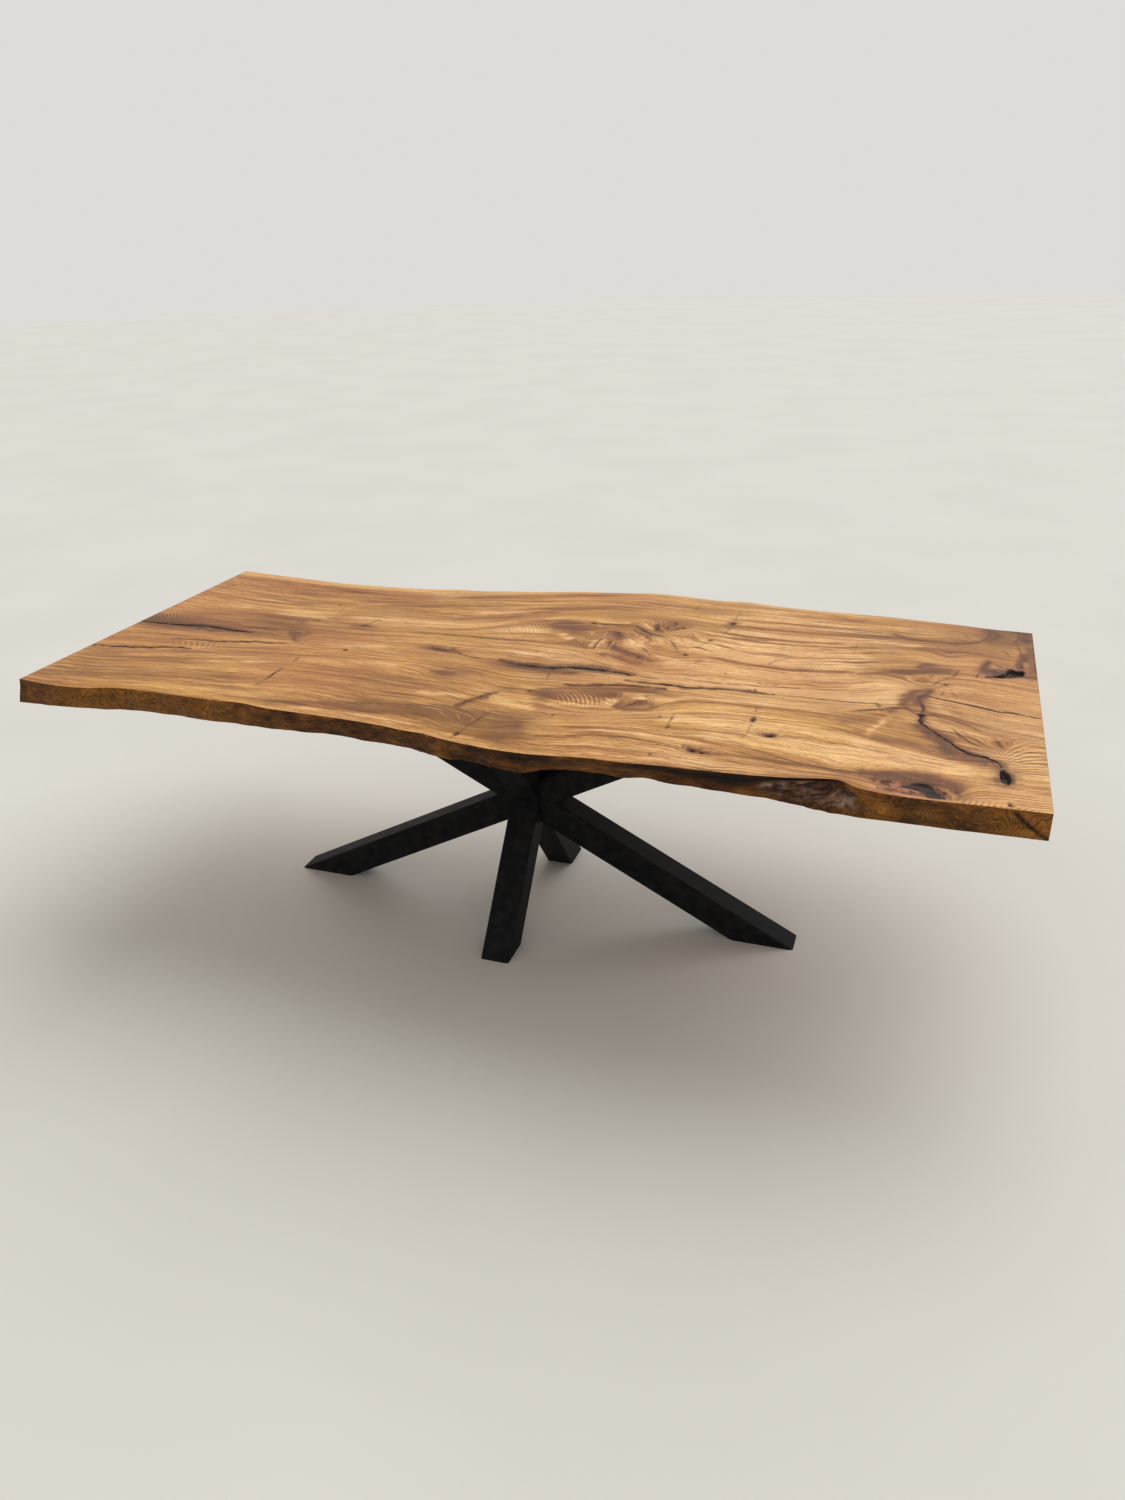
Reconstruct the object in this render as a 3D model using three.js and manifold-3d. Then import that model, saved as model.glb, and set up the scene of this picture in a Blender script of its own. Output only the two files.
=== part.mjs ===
// A dining table: one solid live-edge elm panel on a black steel spider base.
// Millimetres, +Z up. The origin is on the floor, under the middle of the panel.

import * as THREE from 'three';
import { mergeVertices } from 'three/addons/utils/BufferGeometryUtils.js';
import Module from 'manifold-3d';

// Panel
const PANEL_LENGTH = 2465;
const PANEL_THICKNESS = 60;
const TABLE_HEIGHT = 760;
const UNDERSIDE = TABLE_HEIGHT - PANEL_THICKNESS;

// Base
const TUBE = 80;
const TUBE_CORNER = 6;
const LONG_REACH = 667;
const SHORT_REACH = 269;
const BASE_X = -31;
const BASE_Y = -22;
const PLATE_THICKNESS = 6;
const PLATE_WIDTH = 130;
const LONG_PLATE = 230;
const SHORT_PLATE = 150;
const SCREW_RADIUS = 3;
const SCREW_IN_WOOD = 36;
const SCREW_HEAD_RADIUS = 7;
const SCREW_HEAD_HEIGHT = 4;
const SCREW_EDGE = 13;

// Clearance between pieces that touch, and how far a cutting shape runs past what it cuts
const GAP = 0.3;
const PAST = 5;

// Live edges, left to right: x along the panel, y across it
const FRONT_TOP_EDGE = [
  [-1233, -531], [-1150, -541], [-1088, -542], [-1028, -538], [-980, -524], [-928, -513],
  [-805, -515], [-688, -517], [-575, -515], [-512, -526], [-400, -531], [-292, -535],
  [-183, -545], [-128, -555], [-77, -559], [-20, -575], [32, -584], [84, -592], [131, -595],
  [178, -596], [221, -592], [306, -580], [395, -579], [479, -573], [562, -570], [644, -566],
  [724, -557], [763, -550], [801, -541], [836, -538], [870, -560], [915, -572], [995, -577],
  [1104, -573], [1233, -570],
];
const FRONT_LOW_EDGE = [
  [-1233, -545], [-1166, -543], [-1046, -536], [-940, -514], [-822, -510], [-702, -512],
  [-584, -515], [-474, -513], [-368, -507], [-258, -514], [-150, -521], [-92, -535],
  [-32, -556], [13, -549], [64, -554], [118, -570], [166, -572], [204, -549], [245, -535],
  [290, -529], [334, -524], [382, -537], [424, -526], [470, -533], [515, -536], [600, -538],
  [686, -546], [728, -552], [768, -559], [810, -567], [850, -573], [890, -575], [1002, -575],
  [1233, -570],
];
const BACK_EDGE = [
  [-1233, 506], [-1138, 494], [-1038, 482], [-942, 470], [-848, 460], [-760, 457],
  [-674, 458], [-590, 462], [-510, 470], [-436, 485], [-358, 493], [-282, 508], [-208, 523],
  [-136, 540], [-64, 560], [12, 571], [84, 583], [156, 598], [232, 594], [310, 582],
  [384, 576], [454, 581], [528, 566], [598, 558], [668, 552], [804, 548], [870, 544],
  [934, 536], [1000, 528], [1062, 520], [1124, 508], [1186, 504], [1233, 500],
];

// Natural cracks in the top face: a centre line, the widest opening and the depth
const CRACKS = [
  {
    width: 8,
    depth: 7,
    line: [[-1240, -47], [-1152, -50], [-1100, -47], [-1000, -40], [-900, -52], [-850, -52]],
  },
  {
    width: 4,
    depth: 4,
    line: [[-1240, -258], [-1176, -257], [-1100, -247], [-1000, -226], [-940, -216]],
  },
  {
    width: 3,
    depth: 3,
    line: [[-1014, -158], [-900, -145], [-800, -128], [-710, -111]],
  },
  {
    width: 11,
    depth: 8,
    line: [
      [-84, -76], [-50, -92], [20, -100], [62, -97], [92, -90], [112, -78], [195, -75],
      [235, -81], [310, -97],
    ],
  },
  {
    width: 5,
    depth: 5,
    line: [[250, -128], [385, -128], [430, -134], [500, -126], [545, -119], [641, -129]],
  },
  {
    width: 5,
    depth: 5,
    line: [[152, -196], [235, -174], [285, -162], [335, -157], [385, -160]],
  },
  {
    width: 4,
    depth: 6,
    line: [[985, -36], [1060, -65], [1145, -96], [1190, -101], [1240, -109]],
  },
  {
    width: 9,
    depth: 8,
    line: [[976, -150], [1000, -230], [1042, -297], [1062, -332], [1112, -357], [1145, -396]],
  },
];

// Bark pockets and a loose knot in the top face: an outline and a depth
const FRONT_SHELF = {
  depth: 5,
  outline: [
    [903, -522], [928, -510], [1008, -510], [1040, -534], [1054, -554], [1040, -564],
    [928, -562], [906, -542],
  ],
};
const FRONT_RECESS = {
  depth: 13,
  outline: [[985, -518], [1012, -522], [1038, -541], [1050, -554], [1020, -556], [1000, -538]],
};
const RIGHT_BARK_POCKET = {
  depth: 12,
  outline: [
    [1116, 130], [1156, 157], [1168, 189], [1192, 201], [1204, 181], [1196, 149],
    [1168, 139], [1136, 124],
  ],
};
const LOOSE_KNOT = {
  depth: 11,
  outline: [[1141, -402], [1152, -410], [1159, -440], [1154, -466], [1144, -450], [1138, -424]],
};
const POCKETS = [FRONT_SHELF, FRONT_RECESS, RIGHT_BARK_POCKET, LOOSE_KNOT];

// How the live edge is divided, and how far each row lies down the thickness (0 top, 1 underside)
const STEPS_ALONG = 140;
const STEPS_ACROSS = 3;
const ROWS = [0, 0.05, 0.22, 0.42, 0.64, 0.86, 1];

const wasm = await Module();
wasm.setup();

// Geometry to solid and back, for cutting and joining
function toSolid(geometry) {
  const bare = geometry.clone();
  bare.deleteAttribute('normal');
  bare.deleteAttribute('uv');
  const merged = mergeVertices(bare, 1e-3);
  return new wasm.Manifold(new wasm.Mesh({
    numProp: 3,
    vertProperties: new Float32Array(merged.attributes.position.array),
    triVerts: new Uint32Array(merged.index.array),
  }));
}

function toGeometry(solid) {
  const mesh = solid.getMesh();
  const geometry = new THREE.BufferGeometry();
  geometry.setAttribute('position', new THREE.BufferAttribute(mesh.vertProperties.slice(), 3));
  geometry.setIndex(new THREE.BufferAttribute(mesh.triVerts.slice(), 1));
  return geometry;
}

// A smooth line through the points, read at one x
function edgeAt(points, x) {
  const last = points.length - 1;
  let i = 0;
  while (i < last - 1 && points[i + 1][0] < x) {
    i += 1;
  }
  const slope = (k) => {
    const a = points[Math.max(k - 1, 0)];
    const b = points[Math.min(k + 1, last)];
    return (b[1] - a[1]) / (b[0] - a[0]);
  };
  const [x0, y0] = points[i];
  const [x1, y1] = points[i + 1];
  const run = x1 - x0;
  const s = THREE.MathUtils.clamp((x - x0) / run, 0, 1);
  const rise = y1 - y0;
  const bend0 = slope(i) * run - rise;
  const bend1 = slope(i + 1) * run - rise;
  return y0 + rise * s + s * (1 - s) * ((1 - s) * bend0 - s * bend1);
}

// A hill of height 1 that rises from a to b and falls from c to d
function hill(x, a, b, c, d) {
  return THREE.MathUtils.smoothstep(x, a, b) * (1 - THREE.MathUtils.smoothstep(x, c, d));
}

// Low lumps of the wood under the bark
function lumps(x, down, phase) {
  return 1.9 * Math.sin(x / 41 + 2.6 * down + phase)
    + 1.4 * Math.sin(x / 23 - 4.1 * down + 2 * phase)
    + 1.1 * Math.sin(x / 13 + 5.3 * down - phase);
}

// The front face: a bellied edge, undercut in the middle, with a bark hollow under the arris
function frontAt(x, down) {
  const top = edgeAt(FRONT_TOP_EDGE, x);
  const low = edgeAt(FRONT_LOW_EDGE, x);
  const skin = Math.sin(Math.PI * down);
  const belly = 6 * hill(x, -1300, -1000, 300, 480) + 2 * hill(x, 840, 880, 1300, 1400);
  const hollow = 9 * hill(x, 330, 480, 560, 640) + 17 * hill(x, 600, 720, 800, 850);
  const fade = 0.35 + 0.65 * hill(x, -1230, -1120, 840, 900);
  const turn = THREE.MathUtils.smoothstep(down, 0.02, 1);
  return THREE.MathUtils.lerp(top, low, turn)
    - belly * skin
    + hollow * Math.sin(Math.PI * Math.min(1, down * 1.35))
    + lumps(x, down, 0.4) * Math.min(1, 3 * down) * fade;
}

// The back face: its widest line runs just under the top, and it pulls in towards the underside
function backAt(x, down) {
  const widest = edgeAt(BACK_EDGE, x);
  const bevel = 9 * (1 - THREE.MathUtils.smoothstep(down, 0, 0.3));
  const tuck = (16 + 7 * Math.sin(x / 210 + 0.8)) * THREE.MathUtils.smoothstep(down, 0.3, 1);
  return widest - bevel - tuck + lumps(x, down, 2.1) * Math.min(1, 3 * down) * 0.8;
}

// A crack seen from above: a thin shape along its centre line, widest in the middle
function crackShape({ line, width }) {
  const path = new THREE.SplineCurve(line.map(([x, y]) => new THREE.Vector2(x, y)));
  const steps = 2 * line.length;
  const near = [];
  const far = [];
  for (let i = 0; i <= steps; i += 1) {
    const s = i / steps;
    const point = path.getPoint(s);
    const along = path.getTangent(s);
    const half = 0.4 + (width / 2) * Math.sin(Math.PI * (0.08 + 0.84 * s)) ** 0.8;
    const wander = 1 + 0.25 * Math.sin(5 * i);
    near.push(new THREE.Vector2(point.x - along.y * half * wander, point.y + along.x * half * wander));
    far.unshift(new THREE.Vector2(point.x + along.y * half, point.y - along.x * half));
  }
  return new THREE.Shape([...near, ...far]);
}

// A cut of an outline into the top face, down to a depth
function topCut(shape, depth) {
  const cut = new THREE.ExtrudeGeometry(shape, { depth: depth + PAST, bevelEnabled: false });
  cut.translate(0, 0, TABLE_HEIGHT - depth);
  return toSolid(cut);
}

// The blank panel: a divided box whose sides are drawn out to the live edges
function panelBlank() {
  const box = new THREE.BoxGeometry(PANEL_LENGTH, 1, 1, STEPS_ALONG, STEPS_ACROSS, ROWS.length - 1);
  const position = box.attributes.position;
  for (let i = 0; i < position.count; i += 1) {
    const x = position.getX(i);
    const across = position.getY(i) + 0.5;
    const row = Math.round((0.5 - position.getZ(i)) * (ROWS.length - 1));
    const down = ROWS[row];
    const y = THREE.MathUtils.lerp(frontAt(x, down), backAt(x, down), across);
    position.setXYZ(i, x, y, TABLE_HEIGHT - down * PANEL_THICKNESS);
  }
  return toSolid(box);
}

// Places of the four screws of a plate, from the plate's middle
function screwPlaces(length, width) {
  const x = length / 2 - SCREW_EDGE - SCREW_HEAD_RADIUS;
  const y = width / 2 - SCREW_EDGE;
  return [[-x, -y], [x, -y], [x, y], [-x, y]];
}

// The four mounting plates, by name: middle and size
const PLATES = {
  left: { x: BASE_X - LONG_REACH, y: BASE_Y, length: LONG_PLATE, width: PLATE_WIDTH },
  right: { x: BASE_X + LONG_REACH, y: BASE_Y, length: LONG_PLATE, width: PLATE_WIDTH },
  front: { x: BASE_X, y: BASE_Y - SHORT_REACH, length: PLATE_WIDTH, width: SHORT_PLATE },
  back: { x: BASE_X, y: BASE_Y + SHORT_REACH, length: PLATE_WIDTH, width: SHORT_PLATE },
};
const PLATE_TOP = UNDERSIDE - GAP;
const PLATE_BOTTOM = PLATE_TOP - PLATE_THICKNESS;
const TUBE_TOP = PLATE_BOTTOM - GAP;

function placesOf(plate) {
  // a plate that runs along y has its screws clear of the tube at its sides
  const places = plate.length > plate.width
    ? screwPlaces(plate.length, plate.width)
    : screwPlaces(plate.width, plate.length).map(([a, b]) => [b, a]);
  return places.map(([x, y]) => [plate.x + x, plate.y + y]);
}

function uprightHole(x, y, from, to, radius) {
  const hole = new THREE.CylinderGeometry(radius, radius, to - from, 8);
  hole.rotateX(Math.PI / 2);
  hole.translate(x, y, (from + to) / 2);
  return toSolid(hole);
}

// The panel: the blank less its cracks, pockets and the pilot holes of the screws
function panelGeometry() {
  const cuts = [
    ...CRACKS.map((crack) => topCut(crackShape(crack), crack.depth)),
    ...POCKETS.map(({ outline, depth }) => topCut(
      new THREE.Shape(outline.map(([x, y]) => new THREE.Vector2(x, y))), depth)),
    ...Object.values(PLATES).flatMap(placesOf).map(([x, y]) => uprightHole(
      x, y, UNDERSIDE - PAST, UNDERSIDE + SCREW_IN_WOOD + GAP, SCREW_RADIUS + GAP)),
  ];
  return toGeometry(cuts.reduce((panel, cut) => panel.subtract(cut), panelBlank()));
}

// A square tube with rounded corners from one point to another, its side faces upright
function tubeSolid(from, to, size) {
  const half = size / 2;
  const corner = TUBE_CORNER;
  const section = new THREE.Shape();
  section.moveTo(half, half - corner);
  section.absarc(half - corner, half - corner, corner, 0, Math.PI / 2, false);
  section.absarc(corner - half, half - corner, corner, Math.PI / 2, Math.PI, false);
  section.absarc(corner - half, corner - half, corner, Math.PI, 1.5 * Math.PI, false);
  section.absarc(half - corner, corner - half, corner, 1.5 * Math.PI, 2 * Math.PI, false);
  const run = new THREE.Vector3().subVectors(to, from);
  const tube = new THREE.ExtrudeGeometry(section, {
    depth: run.length(), bevelEnabled: false, curveSegments: 3,
  });
  const along = run.clone().normalize();
  const side = new THREE.Vector3(0, 0, 1).cross(along).normalize();
  const over = along.clone().cross(side);
  tube.applyMatrix4(new THREE.Matrix4().makeBasis(side, over, along).setPosition(from));
  return toSolid(tube);
}

function blockSolid(x0, x1, y0, y1, z0, z1) {
  const block = new THREE.BoxGeometry(x1 - x0, y1 - y0, z1 - z0);
  block.translate((x0 + x1) / 2, (y0 + y1) / 2, (z0 + z1) / 2);
  return toSolid(block);
}

// A tube through the hub, leaning towards (dx, dy), run past the floor and the plates
function throughTube(dx, dy, size) {
  const lift = UNDERSIDE / 2;
  const overrun = 1.3;
  const reach = new THREE.Vector3(dx, dy, lift).multiplyScalar(overrun);
  const hub = new THREE.Vector3(0, 0, lift);
  return tubeSolid(hub.clone().sub(reach), hub.clone().add(reach), size);
}

// The spider base about its own middle: two long tubes crossing over two short ones, all through one hub.
// One long tube runs through, and the other pieces are cut to it and welded on.
function baseSolids() {
  const wide = 2000;
  const middle = UNDERSIDE / 2;
  const half = GAP / 2;
  const standing = blockSolid(-wide, wide, -wide, wide, 0, TUBE_TOP);
  const below = blockSolid(-wide, wide, -wide, wide, 0, middle - half);
  const above = blockSolid(-wide, wide, -wide, wide, middle + half, TUBE_TOP);
  const front = blockSolid(-wide, wide, -wide, -half, -wide, wide);
  const back = blockSolid(-wide, wide, half, wide, -wide, wide);
  const through = throughTube(LONG_REACH, 0, TUBE);
  const throughCut = throughTube(LONG_REACH, 0, TUBE + 2 * GAP);
  const crossing = throughTube(-LONG_REACH, 0, TUBE).subtract(throughCut);
  const longCut = throughCut.add(throughTube(-LONG_REACH, 0, TUBE + 2 * GAP));
  const risingBack = throughTube(0, SHORT_REACH, TUBE).subtract(longCut);
  const risingFront = throughTube(0, -SHORT_REACH, TUBE).subtract(longCut);
  return {
    long_tube_through: through.intersect(standing),
    long_tube_right_foot: crossing.intersect(below),
    long_tube_left_top: crossing.intersect(above),
    short_tube_front_foot: risingBack.intersect(below).intersect(front),
    short_tube_back_top: risingBack.intersect(above).intersect(back),
    short_tube_back_foot: risingFront.intersect(below).intersect(back),
    short_tube_front_top: risingFront.intersect(above).intersect(front),
  };
}

// A mounting plate with four holes
function plateGeometry(plate) {
  const { x, y, length, width } = plate;
  const [dx, dy] = [length / 2, width / 2];
  const blank = blockSolid(x - dx, x + dx, y - dy, y + dy, PLATE_BOTTOM, PLATE_TOP);
  return toGeometry(placesOf(plate).reduce((rest, [holeX, holeY]) => rest.subtract(
    uprightHole(holeX, holeY, PLATE_BOTTOM - PAST, PLATE_TOP + PAST, SCREW_RADIUS + 2 * GAP)), blank));
}

// A wood screw, head down, its thread drawn as a plain shank
function screwGeometry() {
  const top = UNDERSIDE + SCREW_IN_WOOD;
  const seat = PLATE_BOTTOM - GAP;
  const profile = [
    [0, seat - SCREW_HEAD_HEIGHT],
    [SCREW_HEAD_RADIUS - 2, seat - SCREW_HEAD_HEIGHT],
    [SCREW_HEAD_RADIUS, seat - SCREW_HEAD_HEIGHT / 2],
    [SCREW_HEAD_RADIUS, seat],
    [SCREW_RADIUS, seat],
    [SCREW_RADIUS, top - 2 * SCREW_RADIUS],
    [0, top],
  ];
  const screw = new THREE.LatheGeometry(profile.map(([r, z]) => new THREE.Vector2(r, z)), 8);
  screw.rotateX(Math.PI / 2);
  return toGeometry(toSolid(screw));
}

const elm = new THREE.MeshStandardMaterial({ color: 0xb9854f, roughness: 0.45, metalness: 0 });
const blackSteel = new THREE.MeshStandardMaterial({ color: 0x17181a, roughness: 0.55, metalness: 0.3 });
const zincSteel = new THREE.MeshStandardMaterial({ color: 0x8f9092, roughness: 0.4, metalness: 0.9 });

const table = new THREE.Group();

function addPiece(name, geometry, material, x = 0, y = 0) {
  const piece = new THREE.Mesh(geometry, material);
  piece.name = name;
  piece.position.set(x, y, 0);
  table.add(piece);
}

addPiece('panel', panelGeometry(), elm);
for (const [name, solid] of Object.entries(baseSolids())) {
  addPiece(name, toGeometry(solid), blackSteel, BASE_X, BASE_Y);
}
for (const [side, plate] of Object.entries(PLATES)) {
  addPiece(`plate_${side}`, plateGeometry(plate), blackSteel);
  placesOf(plate).forEach(([x, y], i) => {
    addPiece(`screw_${side}_${i + 1}`, screwGeometry(), zincSteel, x, y);
  });
}

export default table;
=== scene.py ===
"""Dresses the live-edge table: the figured elm panel, its black steel spider base and the studio."""

import math
from functools import partial

import bmesh
import bpy
import numpy as np
from bpy.props import FloatProperty, FloatVectorProperty, PointerProperty
from bpy.types import Operator, Panel, PropertyGroup
from mathutils import Euler, Matrix, Vector, noise


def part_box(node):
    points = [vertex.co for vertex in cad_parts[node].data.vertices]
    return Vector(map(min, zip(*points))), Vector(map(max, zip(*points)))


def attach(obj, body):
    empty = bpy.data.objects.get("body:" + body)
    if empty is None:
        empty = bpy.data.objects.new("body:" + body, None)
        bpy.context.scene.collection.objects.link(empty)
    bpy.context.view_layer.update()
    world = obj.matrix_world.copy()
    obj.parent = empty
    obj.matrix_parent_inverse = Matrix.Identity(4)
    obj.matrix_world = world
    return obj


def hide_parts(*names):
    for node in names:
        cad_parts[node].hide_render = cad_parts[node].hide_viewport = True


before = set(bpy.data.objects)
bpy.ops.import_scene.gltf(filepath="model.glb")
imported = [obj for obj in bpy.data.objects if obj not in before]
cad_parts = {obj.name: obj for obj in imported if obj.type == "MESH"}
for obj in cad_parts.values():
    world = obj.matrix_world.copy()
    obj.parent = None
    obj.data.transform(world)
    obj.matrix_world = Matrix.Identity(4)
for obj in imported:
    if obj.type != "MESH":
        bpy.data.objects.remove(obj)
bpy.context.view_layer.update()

bl_info = {
    "name": "Live-edge table",
    "version": (1, 0, 0),
    "blender": (4, 5, 0),
    "location": "View3D > Sidebar > Table",
    "description": "Elm panel with natural cracks on a black steel spider base",
    "category": "Object",
}

MM = 0.001
LOW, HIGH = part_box("panel")
HALF_LENGTH = HIGH.x / MM
TOP = HIGH.z / MM
THICKNESS = (HIGH.z - LOW.z) / MM

# Live edges in millimetres, left to right: x along the panel, y across it
FRONT_TOP_EDGE = (
    (-1233, -531), (-1150, -541), (-1088, -542), (-1028, -538), (-980, -524), (-928, -513),
    (-805, -515), (-688, -517), (-575, -515), (-512, -526), (-400, -531), (-292, -535),
    (-183, -545), (-128, -555), (-77, -559), (-20, -575), (32, -584), (84, -592), (131, -595),
    (178, -596), (221, -592), (306, -580), (395, -579), (479, -573), (562, -570), (644, -566),
    (724, -557), (763, -550), (801, -541), (836, -538), (870, -560), (915, -572), (995, -577),
    (1104, -573), (1233, -570),
)
FRONT_LOW_EDGE = (
    (-1233, -545), (-1166, -543), (-1046, -536), (-940, -514), (-822, -510), (-702, -512),
    (-584, -515), (-474, -513), (-368, -507), (-258, -514), (-150, -521), (-92, -535),
    (-32, -556), (13, -549), (64, -554), (118, -570), (166, -572), (204, -549), (245, -535),
    (290, -529), (334, -524), (382, -537), (424, -526), (470, -533), (515, -536), (600, -538),
    (686, -546), (728, -552), (768, -559), (810, -567), (850, -573), (890, -575), (1002, -575),
    (1233, -570),
)
BACK_EDGE = (
    (-1233, 506), (-1138, 494), (-1038, 482), (-942, 470), (-848, 460), (-760, 457),
    (-674, 458), (-590, 462), (-510, 470), (-436, 485), (-358, 493), (-282, 508), (-208, 523),
    (-136, 540), (-64, 560), (12, 571), (84, 583), (156, 598), (232, 594), (310, 582),
    (384, 576), (454, 581), (528, 566), (598, 558), (668, 552), (804, 548), (870, 544),
    (934, 536), (1000, 528), (1062, 520), (1124, 508), (1186, 504), (1233, 500),
)

# Lines that the grain follows on the top face, back to front, between the two live edges, with the
# growth from one to the next, and the pith: which line it lies under, and how deep
GRAIN_LINES = (
    ((-1242, 465), (-1042, 440), (-833, 419), (-666, 390), (-558, 390), (-458, 398), (-333, 428),
     (-208, 457), (-83, 490), (108, 548), (192, 562), (275, 544), (358, 523), (525, 528),
     (692, 512), (942, 490), (1242, 473)),
    ((-1242, 336), (-1042, 307), (-792, 286), (-542, 303), (-375, 353), (-208, 398), (-42, 436),
     (108, 469), (275, 457), (442, 436), (608, 409), (775, 404), (942, 390), (1067, 419),
     (1242, 402)),
    ((-1242, 265), (-1125, 244), (-1000, 223), (-792, 201), (-542, 215), (-416, 215), (-292, 232),
     (-208, 273), (-125, 326), (-42, 351), (42, 378), (150, 390), (275, 386), (442, 361),
     (608, 339), (775, 334), (942, 346), (1067, 352), (1242, 328)),
    ((-1242, 169), (-1125, 136), (-958, 123), (-792, 144), (-625, 165), (-458, 173), (-292, 188),
     (-192, 223), (-108, 286), (-25, 323), (42, 334), (125, 340), (217, 348), (317, 328),
     (408, 294), (525, 273), (650, 261), (775, 265), (942, 290), (1067, 286), (1242, 252)),
    ((-1242, 90), (-1125, 78), (-958, 88), (-858, 94), (-750, 103), (-583, 78), (-458, 90),
     (-333, 111), (-225, 144), (-125, 211), (-42, 261), (25, 269), (108, 273), (183, 282),
     (250, 236), (317, 178), (408, 136), (525, 119), (625, 121), (775, 144), (900, 194),
     (983, 236), (1108, 194), (1242, 128)),
    ((-1242, 32), (-1083, 28), (-958, 40), (-792, 53), (-583, 53), (-458, 63), (-208, 81),
     (-83, 88), (0, 84), (58, 90), (142, 52), (225, 15), (300, -22), (408, 44), (525, 52),
     (625, 44), (775, 52), (858, 69), (942, 52), (1042, 86), (1242, 44)),
    ((-1242, -6), (-1083, -10), (-916, -2), (-750, 11), (-583, -2), (-416, 15), (-208, 28),
     (-42, 32), (42, 19), (150, -10), (258, -52), (375, -77), (525, -89), (650, -77), (775, -56),
     (858, -22), (942, 11), (1050, -2), (1242, -31)),
    ((-1242, -47), (-1125, -51), (-1000, -41), (-916, -52), (-792, -52), (-658, -68), (-500, -64),
     (-333, -52), (-225, -52), (-125, -77), (-42, -87), (50, -94), (117, -81), (192, -78),
     (275, -91), (358, -106), (525, -117), (692, -110), (858, -89), (967, -52), (1050, -64),
     (1150, -93), (1242, -112)),
    ((-1242, -164), (-1042, -157), (-875, -146), (-750, -122), (-625, -102), (-458, -93),
     (-292, -102), (-125, -122), (0, -147), (150, -127), (275, -127), (400, -131), (525, -129),
     (692, -132), (858, -127), (983, -122), (1108, -156), (1242, -172)),
    ((-1242, -260), (-1166, -256), (-1083, -236), (-958, -217), (-792, -202), (-625, -181),
     (-458, -164), (-292, -168), (-125, -181), (0, -210), (92, -214), (158, -198), (233, -172),
     (317, -158), (442, -168), (608, -177), (775, -174), (900, -160), (1025, -193), (1108, -227),
     (1242, -248)),
    ((-1242, -343), (-1125, -339), (-958, -307), (-792, -277), (-666, -252), (-500, -252),
     (-333, -260), (-166, -277), (0, -314), (92, -298), (192, -331), (292, -322), (375, -277),
     (442, -239), (525, -214), (625, -210), (775, -222), (900, -256), (1025, -298), (1108, -314),
     (1242, -314)),
    ((-1242, -414), (-1042, -397), (-875, -366), (-708, -354), (-542, -327), (-375, -327),
     (-208, -343), (0, -389), (192, -396), (317, -364), (442, -331), (525, -311), (608, -302),
     (692, -306), (775, -319), (900, -356), (983, -383), (1108, -398), (1242, -389)),
    ((-1242, -481), (-1042, -458), (-875, -432), (-625, -418), (-458, -410), (-292, -439),
     (-166, -418), (0, -447), (150, -456), (233, -441), (358, -424), (483, -428), (567, -443),
     (650, -462), (775, -485), (900, -493), (1025, -485), (1242, -489)),
)
LINE_STEP = 82
PITH_LINE = 7
PITH_DEPTH = 26

# Knots and burls that push the grain aside, left to right: x, y, half width, half depth, push
SWIRLS = (
    (-1176, 343, 18, 14, 26), (-760, 120, 70, 34, 36), (-716, -40, 46, 26, 50), (-662, 250, 16, 14, 30),
    (-566, 80, 30, 22, -45), (-258, -40, 48, 18, 34), (-190, -210, 60, 40, 20), (30, -470, 90, 50, 40),
    (158, 200, 46, 30, -44), (190, 60, 90, 34, -40), (286, 292, 52, 40, 60), (333, -264, 46, 30, 60),
    (345, 262, 34, 26, -24), (373, 78, 26, 18, 12), (393, 146, 22, 18, -14), (445, 366, 14, 26, 20),
    (519, -482, 22, 14, 30), (620, -70, 16, 9, 20), (669, -362, 18, 12, 26), (975, 20, 40, 46, 70),
    (1010, 232, 60, 50, 60), (1015, -534, 60, 34, 70), (1142, -281, 30, 26, 60), (1180, 360, 60, 90, 70),
)

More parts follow.
